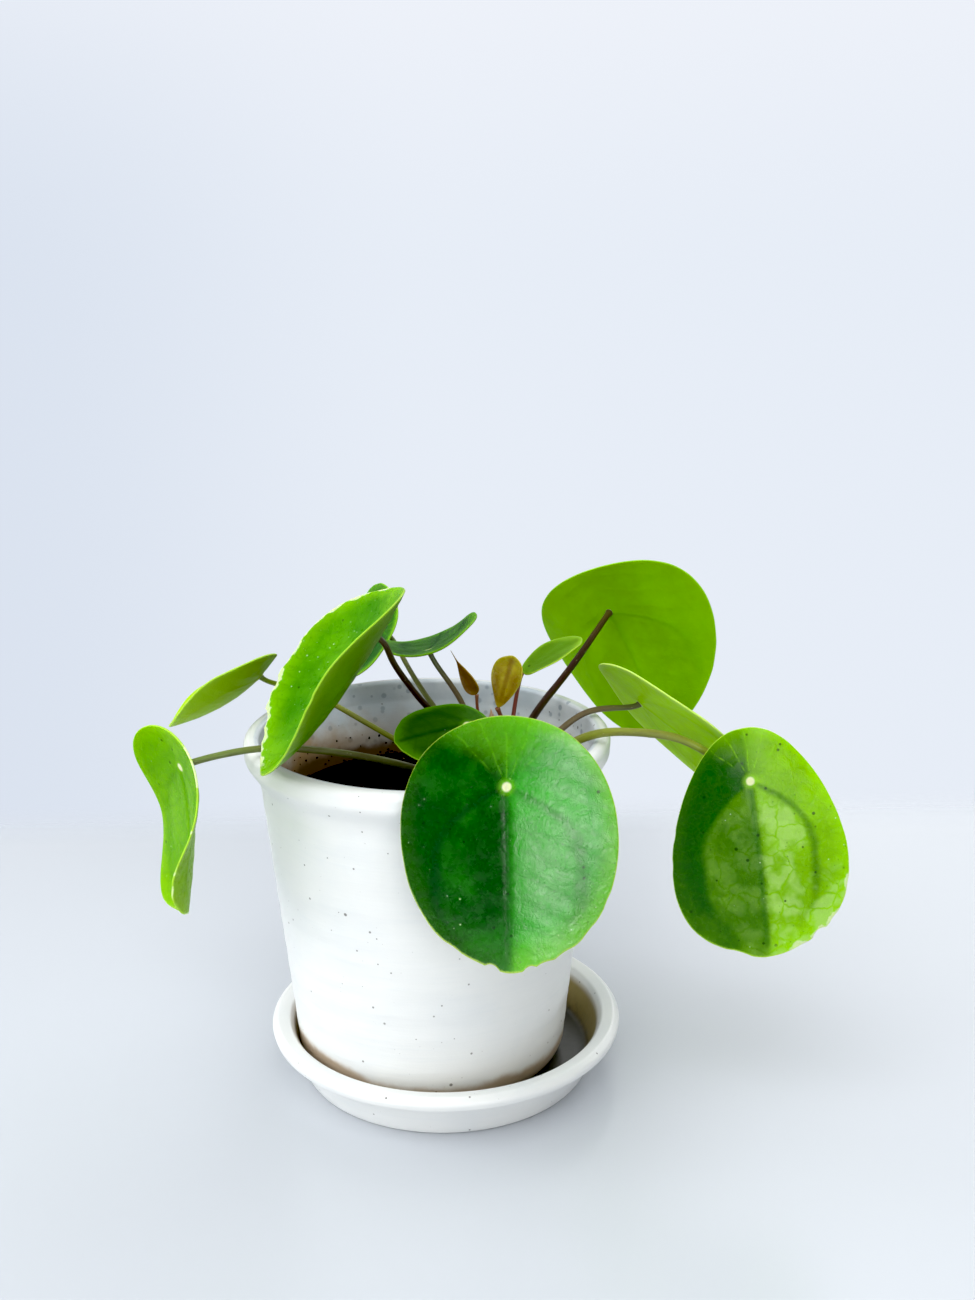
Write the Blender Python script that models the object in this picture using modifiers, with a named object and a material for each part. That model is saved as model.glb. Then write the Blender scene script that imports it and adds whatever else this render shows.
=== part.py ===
# Potted pilea: a pot on its saucer, the soil in the pot, and the plant. Metres, +Z up.
# The origin is the middle of the saucer's underside, and the front of the pot faces -Y.
# Driving sizes are in millimetres and are turned into metres where a shape is made.
import math

import bmesh
import bpy
from mathutils import Euler, Vector

MM = 0.001
STEPS = 64            # steps round the pot, the saucer and the soil
GAP = 0.3             # clearance where one piece rests on another
MERGE = 0.00001       # metres, for every modifier that merges

# Pottery: corners as (radius from the axis, height, rounding), in order round the section.
SAUCER_SECTION = [
    (56.8, 17.6, 1.5), (58.2, 19.8, 1.4), (62.6, 20.4, 1.5), (64.9, 18.4, 2.0), (64.2, 15.6, 1.4),
    (57.3, 12.8, 3.0), (52.8, 0.0, 1.5), (0.0, 0.0), (0.0, 5.0), (52.6, 5.0, 2.5),
]
POT_AXIS = (-5.4, -0.6)                # the pot stands a little to the left on its saucer
POT_FOOT = SAUCER_SECTION[8][1] + GAP  # height of the pot's foot
RIM_TOP = 129.9
POT_FLOOR = POT_FOOT + 6.7
DRAIN_RADIUS = 6.0
POT_INSIDE_FOOT = (45.0, POT_FLOOR, 8.0)
POT_INSIDE_THROAT = (54.6, 113.0, 20.0)
POT_SECTION = [
    (59.4, RIM_TOP, 1.6), (64.9, RIM_TOP, 2.6), (64.6, 123.2, 5.0), (59.6, 115.5, 12.0),
    (49.6, 17.0), (48.6, POT_FOOT, 9.0), (37.0, POT_FOOT), (36.0, POT_FOOT + 1.2),
    (DRAIN_RADIUS, POT_FOOT + 1.2), (DRAIN_RADIUS, POT_FLOOR),
    POT_INSIDE_FOOT, POT_INSIDE_THROAT, (58.2, 122.0, 6.0),
]
SOIL_TOP = 103.0
SOIL_RINGS = 4        # rings of points across the top of the soil
SOIL_RISE = 1.1       # how far the top of the soil rolls up and down

# The short woody stem, and where each leaf stalk leaves it.
STEM_AXIS = (21.0, 3.0)
STEM_RADIUS = 5.0
STEM_TOP = 121.5
STEM_FOOT = 84.0
STALK_SIDES = 2       # rounding of a stalk's section, eight sides
STALK_LEAD = 4.5      # how far below its blade a stalk turns to meet it

BLADE_THICKNESS = 0.8
BLADE_STEPS = 28
BLADE_RINGS = 4
SMALL_STEPS = 16
SMALL_RINGS = 3
SMALL_LENGTH = 25.0   # blades shorter than this get the small mesh

GREEN_DEEP = (0.035, 0.16, 0.015)
GREEN_BRIGHT = (0.12, 0.33, 0.012)
GREEN_UNDER = (0.17, 0.33, 0.02)
OLIVE = (0.23, 0.2, 0.07)
MAROON = (0.06, 0.02, 0.015)
OCHRE = (0.22, 0.1, 0.01)
PINK = (0.3, 0.08, 0.05)

# One entry for each leaf. A blade is placed by the point where its stalk meets it; heading, droop
# and roll turn it, in degrees. "stalkAt" is how far along the blade that point lies. The outline
# is an oval: "egg" widens its tip end, "shear" and "lop" push its left side forward and outward,
# and "lobes" are waves of three and four round its edge. "arch" and "curl" bend the blade down
# along its length, "camber" turns down its left and right edges, "twist" turns its tip, and
# "tipTwist" acts near the tip alone, all in degrees. "root" is where the stalk leaves the stem's
# side, as degrees round it and a height, "crown" is where it leaves the stem's top, "way" lists
# the points that it bends through, and "lead" is how far below the blade it turns to meet it.
LEAVES = {
    "front": dict(
        at=(18.4, -80, 137.9), heading=-92, droop=68.1, roll=5.2, length=77.5, width=71.7, stalkAt=0.281,
        egg=-0.08, tip=1.5, shear=0.045, lop=-0.02, lobes=(-0.008, 0.006, -0.005, -0.005),
        arch=13.1, camber=(21.9, 36.8), twist=-7, wave=0.5, stalk=1.5,
        root=(-88, 111), way=[(20, -18, 127), (19, -38, 142), (19, -56, 148), (18.2, -69, 145)],
        colour=GREEN_DEEP, stalkColour=OLIVE),
    "right": dict(
        at=(103.8, -32, 119.9), heading=-65, droop=74, roll=24.8, length=81.5, width=60.8, stalkAt=0.245,
        egg=0.36, tip=1.5, shear=-0.028, lop=0.008, lobes=(0.024, -0.006, -0.017, 0.0),
        arch=18.6, camber=(14.2, 33.5), twist=6.1, wave=0.6, stalk=1.5,
        root=(-28, 112), way=[(37, -8, 121.5), (45, -14, 129), (54, -20, 134.5), (64, -23.5, 135.5),
                              (77, -23, 134), (88, -20, 129)],
        colour=GREEN_BRIGHT, stalkColour=OLIVE),
    "left_tall": dict(
        at=(-22, -34, 173.6), heading=206, droop=54, roll=13.5, length=76, width=72, stalkAt=0.24,
        tip=1, arch=-10, curl=-42, camber=(-50, -46), wave=0.4, stalk=1.15,
        root=(196, 119), way=[(6, -1.5, 128), (-5, -5, 138.5), (-12, -14, 151), (-18, -26, 164)],
        colour=GREEN_BRIGHT, stalkColour=MAROON),
    "left_behind": dict(
        at=(-22, 46, 153.5), heading=120, droop=20, roll=-60, length=44, width=42, stalkAt=0.22,
        tip=1, arch=20, camber=(-22, -22), wave=0.4, stalk=1.0,
        root=(146, 113), way=[(7, 12, 121), (-1, 15, 130), (-8, 24, 138), (-14, 37, 144.5)],
        colour=GREEN_DEEP, stalkColour=OLIVE),
    "middle": dict(
        at=(-4.5, 6, 157.2), heading=80, droop=6.4, roll=-21, length=45.7, width=38.4, stalkAt=0.277,
        tip=1, arch=-6.5, camber=(-53, -23), twist=-13.3, wave=0.3, stalk=1.0,
        root=(160, 118), way=[(10, 5.5, 122), (9.8, 4.8, 133), (3.5, 5.2, 144.5)],
        colour=GREEN_DEEP, stalkColour=OLIVE),
    "left_far": dict(
        at=(-66.7, 25, 143), heading=196, droop=43.4, roll=17.6, length=48.4, width=56.6, stalkAt=0.2,
        egg=-0.037, tip=0.5, shear=-0.033, lop=0.021, lobes=(-0.024, 0.018, -0.007, -0.011), arch=-47.3,
        curl=9.6, camber=(-47.8, -35.8), twist=-6.7, wave=0.3, stalk=1.05,
        root=(172, 110), way=[(-4, 6, 116), (-18, 10, 123), (-36, 17, 132), (-51, 21, 140)],
        colour=GREEN_BRIGHT, stalkColour=OLIVE),
    "left_low": dict(
        at=(-87.2, -35, 129.9), heading=185.3, droop=102, roll=-30.7, length=68.3, width=57.8, stalkAt=0.23,
        egg=0.103, tip=0.5, shear=0.017, lop=-0.01, lobes=(-0.014, -0.049, -0.075, -0.003), arch=-53.4,
        curl=28, camber=(-37.9, -20.3), twist=42.4, tipTwist=-37, wave=1.13, waves=4, phase=-152, stalk=1.3,
        root=(212, 106),
        way=[(-4, -9, 117), (-28, -16, 126), (-47, -22, 131), (-60, -27, 133.5), (-73, -31, 133)],
        colour=GREEN_BRIGHT, stalkColour=OLIVE),
    "small_front": dict(
        at=(8, -30, 141), heading=195, droop=5, roll=-20, length=33, width=30, stalkAt=0.24,
        tip=0.5, arch=10, camber=(10, 10), wave=0.3, stalk=1.0,
        root=(236, 115), way=[(13, -14, 125), (10, -22, 133)],
        colour=GREEN_DEEP, stalkColour=OLIVE),
    "right_back": dict(
        at=(66.3, 60, 156.1), heading=0, droop=59.8, roll=-56.9, length=73.4, width=76.6, stalkAt=0.272,
        egg=-0.23, tip=0.5, shear=0.013, lobes=(0.005, 0.004, -0.002, 0.007), arch=34, camber=(-24.6, -14.6),
        wave=0.5, stalk=1.35,
        root=(50, 116), way=[(32, 16, 128), (44, 31, 136), (56, 47, 146)],
        colour=GREEN_UNDER, stalkColour=MAROON),
    "right_middle": dict(
        at=(72.8, 16, 133.1), heading=-35, droop=29.5, roll=-41.2, length=70.2, width=66.7, stalkAt=0.284,
        egg=-0.05, tip=0.5, arch=-6.4, camber=(0, 0), twist=-9.7, wave=0.4, stalk=1.15, lead=2.5,
        root=(6, 114), way=[(36, 4.5, 121), (44, 6, 128), (52, 8.5, 133), (62, 12, 132.6)],
        colour=GREEN_UNDER, stalkColour=OLIVE),
    "young": dict(
        at=(20.1, -0.9, 138.8), heading=18.6, droop=-72, roll=50, length=19, width=10.8, stalkAt=0.06,
        egg=0.5, tip=0.5, arch=-10, camber=(-30, -30), wave=0.2, stalk=0.8,
        crown=(23, 1.6), way=[(22.4, 0.4, 130)],
        colour=OCHRE, stalkColour=PINK),
    "bud": dict(
        at=(11.1, -2, 144.2), heading=180, droop=-61.8, roll=-98.7, length=14.5, width=4.4, stalkAt=0.1,
        egg=-0.8, tip=4, arch=0, camber=(-30, -30), wave=0.0, stalk=0.6,
        crown=(17.8, 2.4), way=[(14.5, 0, 129), (12, -1.5, 136)],
        colour=OCHRE, stalkColour=PINK),
    "narrow": dict(
        at=(31, 6.6, 149.3), heading=16.3, droop=-29.5, roll=11.8, length=24.5, width=13, stalkAt=0.1,
        tip=0.5, arch=10, camber=(-20, -20), wave=0.2, stalk=0.75,
        crown=(24.0, 5.0), way=[(25.5, 6, 131), (26.5, 7, 140)],
        colour=GREEN_DEEP, stalkColour=PINK),
}

# The pale papery scale that stands at the foot of the youngest leaf.
STIPULE = dict(
    at=(18.7, 0.6, STEM_TOP + GAP + 1.2), heading=-128.7, droop=-78.5, roll=-151.6, length=14, width=4.4,
    stalkAt=0.08, egg=-0.35, tip=1.5, arch=6, camber=(-35, -35), wave=0.1)


def clear_scene():
    for item in list(bpy.data.objects):
        bpy.data.objects.remove(item, do_unlink=True)


def make_collection(name, cutters=False):
    group = bpy.data.collections.new(name)
    bpy.context.scene.collection.children.link(group)
    group.hide_render = cutters
    return group


def make_material(name, colour, roughness):
    material = bpy.data.materials.new(name)
    material.use_nodes = True
    shader = material.node_tree.nodes["Principled BSDF"]
    shader.inputs["Base Color"].default_value = (*colour, 1.0)
    shader.inputs["Roughness"].default_value = roughness
    shader.inputs["Metallic"].default_value = 0.0
    material.diffuse_color = (*colour, 1.0)
    return material


def add_object(name, data, group, material):
    item = bpy.data.objects.new(name, data)
    if material:
        item.data.materials.append(material)
    group.objects.link(item)
    return item


def rounded(corners, step=32.0):
    """The section's points, with each corner that has a rounding turned into an arc."""
    points = []
    for index, corner in enumerate(corners):
        here = Vector(corner[:2])
        if len(corner) < 3:
            points.append(tuple(here))
            continue
        before = (Vector(corners[index - 1][:2]) - here).normalized()
        after = (Vector(corners[(index + 1) % len(corners)][:2]) - here).normalized()
        half = before.angle(after) / 2
        reach = corner[2] / math.tan(half)
        centre = here + (before + after).normalized() * corner[2] / math.sin(half)
        start = here + before * reach - centre
        turn = start.angle_signed(here + after * reach - centre)
        count = max(1, math.ceil(abs(math.degrees(turn)) / step))
        for part in range(count + 1):
            angle = math.atan2(start.y, start.x) - turn * part / count
            points.append((centre.x + corner[2] * math.cos(angle), centre.y + corner[2] * math.sin(angle)))
    return points


def turned(name, points, group, material, axis=(0.0, 0.0), closed=True):
    """A section turned a full circle about its own axis with a Screw modifier."""
    work = bmesh.new()
    verts = [work.verts.new((radius * MM, 0.0, height * MM)) for radius, height in points]
    for first, second in zip(verts, verts[1:]):
        work.edges.new((first, second))
    if closed:
        work.edges.new((verts[-1], verts[0]))
    data = bpy.data.meshes.new(name)
    work.to_mesh(data)
    work.free()
    item = add_object(name, data, group, material)
    item.location = (axis[0] * MM, axis[1] * MM, 0.0)
    screw = item.modifiers.new("Turn", "SCREW")
    screw.steps = STEPS
    screw.render_steps = STEPS
    screw.use_merge_vertices = True
    screw.merge_threshold = MERGE
    screw.use_smooth_shade = True
    return item


def freeze(item):
    """Gives the object its evaluated mesh, so that its points can be moved or cut."""
    graph = bpy.context.evaluated_depsgraph_get()
    data = bpy.data.meshes.new_from_object(item.evaluated_get(graph))
    item.modifiers.clear()
    item.data = data
    return item


def make_pottery(group):
    glaze = make_material("glaze_speckled_white", (0.82, 0.83, 0.83), 0.3)
    dish_glaze = make_material("saucer_glaze_white", (0.8, 0.81, 0.81), 0.3)
    section = rounded(SAUCER_SECTION)
    axis_at = next(i for i, point in enumerate(section) if point[0] == 0.0)
    turned("saucer", section[axis_at + 1:] + section[:axis_at + 1], group, dish_glaze, closed=False)
    turned("pot", rounded(POT_SECTION), group, glaze, POT_AXIS)


def soil_height(x, y):
    """How far the top of the soil rolls above or below its level, in millimetres."""
    return SOIL_RISE * (math.sin(0.11 * x + 0.6) * math.cos(0.09 * y) + 0.5 * math.sin(0.23 * y - 0.17 * x))


def make_soil(group, cutters):
    """The soil fills the pot, a clearance inside its wall, with a plain hole for the stem."""
    earth = make_material("soil_dark", (0.02, 0.014, 0.01), 0.95)
    side = GAP + 0.1
    foot_radius, foot_height, foot_round = POT_INSIDE_FOOT
    throat_radius, throat_height = POT_INSIDE_THROAT[:2]
    slope = (throat_radius - foot_radius) / (throat_height - foot_height)
    edge = foot_radius + slope * (SOIL_TOP - foot_height) - side
    section = [(edge * ring / SOIL_RINGS, SOIL_TOP) for ring in range(SOIL_RINGS + 1)]
    section += [(foot_radius - side, foot_height + GAP, foot_round), (0.0, foot_height + GAP)]
    soil = freeze(turned("soil", rounded(section), group, earth, POT_AXIS, closed=False))
    for vert in soil.data.vertices:
        if vert.co.z > (SOIL_TOP - 0.5) * MM:
            radius = math.hypot(vert.co.x, vert.co.y) / MM
            fade = min(1.0, (edge - radius) / (edge / SOIL_RINGS))
            vert.co.z += soil_height(vert.co.x / MM, vert.co.y / MM) * fade * MM
    depth = SOIL_TOP + 10.0 - (STEM_FOOT - GAP)
    bpy.ops.mesh.primitive_cylinder_add(
        vertices=24, radius=(STEM_RADIUS + GAP) * MM, depth=depth * MM,
        location=(STEM_AXIS[0] * MM, STEM_AXIS[1] * MM, (STEM_FOOT - GAP + depth / 2) * MM))
    cutter = bpy.context.object
    cutter.name = "cut_stem_hole"
    for old in list(cutter.users_collection):
        old.objects.unlink(cutter)
    cutters.objects.link(cutter)
    cutter.display_type = "WIRE"
    cutter.hide_render = True
    hole = soil.modifiers.new("Stem hole", "BOOLEAN")
    hole.operation = "DIFFERENCE"
    hole.solver = "EXACT"
    hole.object = cutter


def make_stem(group):
    bark = make_material("stem_bark", (0.1, 0.06, 0.035), 0.8)
    bpy.ops.mesh.primitive_cylinder_add(
        vertices=24, radius=STEM_RADIUS * MM, depth=(STEM_TOP - STEM_FOOT) * MM,
        location=(STEM_AXIS[0] * MM, STEM_AXIS[1] * MM, (STEM_TOP + STEM_FOOT) / 2 * MM))
    stem = bpy.context.object
    stem.name = "stem"
    stem.data.materials.append(bark)
    for old in list(stem.users_collection):
        old.objects.unlink(stem)
    group.objects.link(stem)


def outline_point(leaf, turn):
    """A point of the flat blade's edge, from the stalk's place, in millimetres."""
    length = leaf["length"]
    half = leaf["width"] / 2
    from_tip = (turn + math.pi) % (2 * math.pi) - math.pi
    third, third_side, fourth, fourth_side = leaf.get("lobes", (0.0, 0.0, 0.0, 0.0))
    edge = 1 + third * math.cos(3 * turn) + third_side * math.sin(3 * turn)
    edge += fourth * math.cos(4 * turn) + fourth_side * math.sin(4 * turn)
    along = (0.5 - leaf["stalkAt"]) * length + length / 2 * math.cos(turn) * edge
    along += leaf.get("shear", 0.0) * length / 2 * math.sin(turn)
    along += leaf["tip"] * math.exp(-(from_tip / 0.22) ** 2)
    across = half * math.sin(turn) * (1 + leaf.get("egg", 0.0) * math.cos(turn)) * edge
    across += leaf.get("lop", 0.0) * half * math.sin(turn) ** 2
    return along, across


def midrib_point(leaf, along, parts=12):
    """Where the bent midrib lies after a length along it, and how far it has turned down."""
    length = leaf["length"]

    def turned_down(distance):
        share = distance / length
        return math.radians(leaf["arch"] * share + leaf.get("curl", 0.0) * max(share, 0.0) ** 3)

    forward = 0.0
    height = 0.0
    for part in range(parts):
        angle = turned_down(along * (part + 0.5) / parts)
        forward += along / parts * math.cos(angle)
        height -= along / parts * math.sin(angle)
    return forward, height, turned_down(along)


def blade_point(leaf, share, turn):
    """A point of the bent blade, a share of the way from the stalk's place to its edge."""
    edge_along, edge_across = outline_point(leaf, turn)
    along = edge_along * share
    across = edge_across * share
    camber = math.radians(leaf["camber"][0 if across >= 0 else 1]) / (leaf["width"] / 2)
    side = across
    lift = 0.0
    if abs(camber) > 1e-6:
        side = math.sin(camber * across) / camber
        lift = (math.cos(camber * across) - 1) / camber
    phase = math.radians(leaf.get("phase", 0))
    lift += leaf["wave"] * share ** 2 * math.sin(leaf.get("waves", 5) * turn + phase)
    part = along / leaf["length"]
    twist = math.radians(leaf.get("twist", 0.0) * part + leaf.get("tipTwist", 0.0) * max(part, 0.0) ** 3)
    level = math.cos(twist)
    tilt = math.sin(twist)
    side, lift = side * level - lift * tilt, side * tilt + lift * level
    forward, height, angle = midrib_point(leaf, along)
    return Vector((forward + math.sin(angle) * lift, side, height + math.cos(angle) * lift)) * MM


def blade_turn(leaf):
    return Euler([math.radians(leaf[key]) for key in ("roll", "droop", "heading")], "XYZ")


def make_blade(name, leaf, group, material):
    """A disc of rings, split into triangles, bent to the blade's form and thickened."""
    small = leaf["length"] < SMALL_LENGTH
    steps = SMALL_STEPS if small else BLADE_STEPS
    rings = SMALL_RINGS if small else BLADE_RINGS
    work = bmesh.new()
    spoke = [work.verts.new((ring / rings, 0.0, 0.0)) for ring in range(rings + 1)]
    for first, second in zip(spoke, spoke[1:]):
        work.edges.new((first, second))
    bmesh.ops.spin(
        work, geom=work.verts[:] + work.edges[:], cent=(0, 0, 0), axis=(0, 0, 1),
        angle=2 * math.pi, steps=steps, use_merge=True)
    bmesh.ops.remove_doubles(work, verts=work.verts[:], dist=0.001)
    bmesh.ops.triangulate(work, faces=work.faces[:])
    bmesh.ops.recalc_face_normals(work, faces=work.faces[:])
    if work.faces[0].normal.z < 0:
        bmesh.ops.reverse_faces(work, faces=work.faces[:])
    for vert in work.verts:
        share = vert.co.xy.length
        vert.co = blade_point(leaf, share, math.atan2(vert.co.y, vert.co.x))
    data = bpy.data.meshes.new(name)
    work.to_mesh(data)
    work.free()
    data.polygons.foreach_set("use_smooth", [True] * len(data.polygons))
    blade = add_object(name, data, group, material)
    blade.location = Vector(leaf["at"]) * MM
    blade.rotation_euler = blade_turn(leaf)
    thick = blade.modifiers.new("Thickness", "SOLIDIFY")
    thick.thickness = BLADE_THICKNESS * MM
    thick.offset = 0.0
    thick.use_even_offset = True


def stalk_way(leaf):
    """The points that steer a stalk, from the stem out to the blade's underside."""
    if "root" in leaf:
        angle = math.radians(leaf["root"][0])
        outward = Vector((math.cos(angle), math.sin(angle), 0.0))
        foot = Vector((*STEM_AXIS, leaf["root"][1]))
        way = [foot + outward * (STEM_RADIUS + GAP), foot + outward * (STEM_RADIUS + 2.8)]
    else:
        way = [Vector((*leaf["crown"], STEM_TOP + GAP)), Vector((*leaf["crown"], STEM_TOP + 3.0))]
    way += [Vector(point) for point in leaf["way"]]
    place = Vector(leaf["at"])
    upward = Vector((0.0, 0.0, 1.0))
    upward.rotate(blade_turn(leaf))
    if leaf["length"] > SMALL_LENGTH:
        way.append(place - upward * leaf.get("lead", STALK_LEAD))
        way.append(place - upward * (BLADE_THICKNESS / 2 + GAP))
    else:
        forward = Vector((1.0, 0.0, 0.0))
        forward.rotate(blade_turn(leaf))
        way.append(place - forward * (leaf["stalkAt"] * leaf["length"] + BLADE_THICKNESS / 2 + GAP))
    return way


def make_stalk(name, leaf, group, material):
    """A smooth curve with a round section, thicker towards the stem."""
    way = stalk_way(leaf)
    curve = bpy.data.curves.new(name, "CURVE")
    curve.dimensions = "3D"
    curve.bevel_depth = leaf["stalk"] * MM
    curve.bevel_resolution = STALK_SIDES
    curve.use_fill_caps = True
    curve.resolution_u = 2
    spline = curve.splines.new("NURBS")
    spline.points.add(len(way) - 1)
    for index, (point, target) in enumerate(zip(spline.points, way)):
        point.co = (*(target * MM), 1.0)
        point.radius = 1.12 - 0.24 * index / (len(way) - 1)
    spline.order_u = 4
    spline.use_endpoint_u = True
    curve_item = add_object(name, curve, group, material)
    graph = bpy.context.evaluated_depsgraph_get()
    data = bpy.data.meshes.new_from_object(curve_item.evaluated_get(graph))
    bpy.data.objects.remove(curve_item, do_unlink=True)
    bpy.data.curves.remove(curve)
    work = bmesh.new()
    work.from_mesh(data)
    bmesh.ops.remove_doubles(work, verts=work.verts[:], dist=MERGE)
    bmesh.ops.recalc_face_normals(work, faces=work.faces[:])
    work.to_mesh(data)
    work.free()
    if not data.materials:
        data.materials.append(material)
    stalk = bpy.data.objects.new(name, data)
    group.objects.link(stalk)


def make_plant(group):
    make_stem(group)
    for name, leaf in LEAVES.items():
        blade_colour = make_material("leaf_" + name + "_green", leaf["colour"], 0.4)
        stalk_colour = make_material("stalk_" + name + "_skin", leaf["stalkColour"], 0.5)
        make_blade("leaf_" + name, leaf, group, blade_colour)
        make_stalk("stalk_" + name, leaf, group, stalk_colour)
    papery = make_material("stipule_papery", (0.55, 0.42, 0.28), 0.7)
    make_blade("stipule", STIPULE, group, papery)


def main():
    clear_scene()
    group = make_collection("potted_pilea")
    cutters = make_collection("cutters", cutters=True)
    make_pottery(group)
    make_soil(group, cutters)
    make_plant(group)


main()
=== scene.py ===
from functools import partialmethod
from math import atan2, ceil, cos, degrees, exp, floor, hypot, pi, radians, sin, tan
from random import Random
from types import SimpleNamespace

import bmesh
import bpy
from mathutils import Euler, Matrix, Vector, noise


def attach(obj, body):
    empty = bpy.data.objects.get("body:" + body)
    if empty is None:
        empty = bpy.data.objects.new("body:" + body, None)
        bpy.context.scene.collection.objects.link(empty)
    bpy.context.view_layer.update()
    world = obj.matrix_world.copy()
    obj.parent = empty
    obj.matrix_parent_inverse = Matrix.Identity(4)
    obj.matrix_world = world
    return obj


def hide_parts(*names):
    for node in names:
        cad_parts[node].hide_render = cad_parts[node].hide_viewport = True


# Looks of the potted pilea: speckled pot and saucer, soil, stem, stalks and leaves.
# Sizes in the dictionaries are millimetres, angles are degrees, meshes are metres.

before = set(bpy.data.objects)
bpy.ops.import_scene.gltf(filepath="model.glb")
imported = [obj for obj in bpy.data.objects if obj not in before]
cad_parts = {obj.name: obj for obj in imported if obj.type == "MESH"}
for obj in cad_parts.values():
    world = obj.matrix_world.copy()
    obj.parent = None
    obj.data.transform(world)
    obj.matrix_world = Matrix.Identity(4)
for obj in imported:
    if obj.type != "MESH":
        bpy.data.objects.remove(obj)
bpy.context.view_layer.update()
mm = 0.001


# Small helpers for shader trees

class Value:
    # one output of a shader node; arithmetic with it adds Math nodes
    def __init__(self, socket):
        self.socket = socket
        self.tree = socket.id_data

    def also(self, output):
        return Value(self.socket.node.outputs[output])

    def calc(self, operation, *others, clamp=False):
        inputs = dict(enumerate((self, *others)))
        return addNode(self.tree, "ShaderNodeMath", inputs, operation=operation, use_clamp=clamp)

    __add__ = partialmethod(calc, "ADD")
    __sub__ = partialmethod(calc, "SUBTRACT")
    __mul__ = partialmethod(calc, "MULTIPLY")
    __truediv__ = partialmethod(calc, "DIVIDE")
    __abs__ = partialmethod(calc, "ABSOLUTE")


def addNode(tree, kind, inputs=None, output=0, **settings):
    made = tree.nodes.new(kind)
    for key, value in settings.items():
        setattr(made, key, value)
    for key, value in (inputs or {}).items():
        if isinstance(value, Value):
            tree.links.new(value.socket, made.inputs[key])
        else:
            made.inputs[key].default_value = value
    return Value(made.outputs[output])


def larger(a, b):
    return a.calc("MAXIMUM", b)


def blend(share, a, b):
    # from colour a to colour b
    ends = [(*colour, 1.0) if isinstance(colour, tuple) else colour for colour in (a, b)]
    inputs = {0: share, 6: ends[0], 7: ends[1]}
    return addNode(share.tree, "ShaderNodeMix", inputs, 2, data_type="RGBA")


def layered(colour, *layers):
    # each layer is its share and its colour, laid over what comes before it
    for share, over in layers:
        colour = blend(share, colour, over)
    return colour


def fade(value, low, high, start=0.0, end=1.0):
    # goes smoothly from start to end while the value goes from low to high
    inputs = {0: value, 1: low, 2: high, 3: start, 4: end}
    return addNode(value.tree, "ShaderNodeMapRange", inputs, interpolation_type="SMOOTHSTEP")


def cloudy(where, scale, detail=3.0, rough=0.55):
    inputs = {"Vector": where, "Scale": scale, "Detail": detail, "Roughness": rough}
    return addNode(where.tree, "ShaderNodeTexNoise", inputs)


def cells(where, scale, feature="F1"):
    inputs = {"Vector": where, "Scale": scale}
    return addNode(where.tree, "ShaderNodeTexVoronoi", inputs, "Distance", feature=feature)


def toCellEdge(where, scale):
    return cells(where, scale, "DISTANCE_TO_EDGE")


def dots(where, scale, smallest, largest, share):
    # round spots of mixed size, in a share of the cells
    distance = cells(where, scale)
    chance = addNode(where.tree, "ShaderNodeSeparateColor", {0: distance.also("Color")})
    size = fade(chance, 0.0, 1.0, smallest, largest)
    inputs = {0: 1.0, 1: distance / size}
    inside = addNode(where.tree, "ShaderNodeMath", inputs, operation="SUBTRACT", use_clamp=True)
    return fade(inside, 0.0, 0.45) * chance.also(1).calc("LESS_THAN", share)


def inMillimetres(tree):
    inputs = {0: addNode(tree, "ShaderNodeTexCoord", output="Object"), "Scale": 1000.0}
    return addNode(tree, "ShaderNodeVectorMath", inputs, operation="SCALE")


def attribute(tree, name, part="Vector"):
    return addNode(tree, "ShaderNodeAttribute", output=part, attribute_name=name)


def apart(vector):
    x = addNode(vector.tree, "ShaderNodeSeparateXYZ", {0: vector})
    return x, x.also(1), x.also(2)


def shifted(vector, offset):
    return addNode(vector.tree, "ShaderNodeVectorMath", {0: vector, 1: offset}, operation="ADD")


def stretched(vector, factors):
    return addNode(vector.tree, "ShaderNodeVectorMath", {0: vector, 1: factors}, operation="MULTIPLY")


def newFinish(name):
    material = bpy.data.materials.new(name)
    material.use_nodes = True
    tree = material.node_tree
    return material, tree, tree.nodes["Principled BSDF"]


def dress(shader, colour, shine, height, distance, strength=1.0, **sockets):
    # gives the shader its colour, roughness and relief, and sets its other sockets
    inputs = {"Height": height, "Distance": distance, "Strength": strength}
    relief = addNode(colour.tree, "ShaderNodeBump", inputs)
    for key, value in {"Base Color": colour, "Roughness": shine, "Normal": relief}.items():
        colour.tree.links.new(value.socket, shader.inputs[key])
    for key, value in sockets.items():
        shader.inputs[key.replace("_", " ")].default_value = value


# Small helpers for meshes

def smoothly(value, low, high):
    share = min(1.0, max(0.0, (value - low) / (high - low)))
    return share * share * (3 - 2 * share)


def putInScene(name, data):
    thing = bpy.data.objects.new(name, data)
    bpy.context.scene.collection.objects.link(thing)
    return thing


def finishMesh(name, bm, material, node):
    # turns the bmesh, in millimetres, into a smooth piece that stands for its CAD node
    bmesh.ops.scale(bm, verts=bm.verts[:], vec=(mm, mm, mm))
    mesh = bpy.data.meshes.new(name)
    bm.to_mesh(mesh)
    bm.free()
    mesh.polygons.foreach_set("use_smooth", [True] * len(mesh.polygons))
    mesh.materials.append(material)
    piece = putInScene(name, mesh)
    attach(piece, "root")
    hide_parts(node)
    print("made", name, "with", len(mesh.polygons), "faces")


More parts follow.
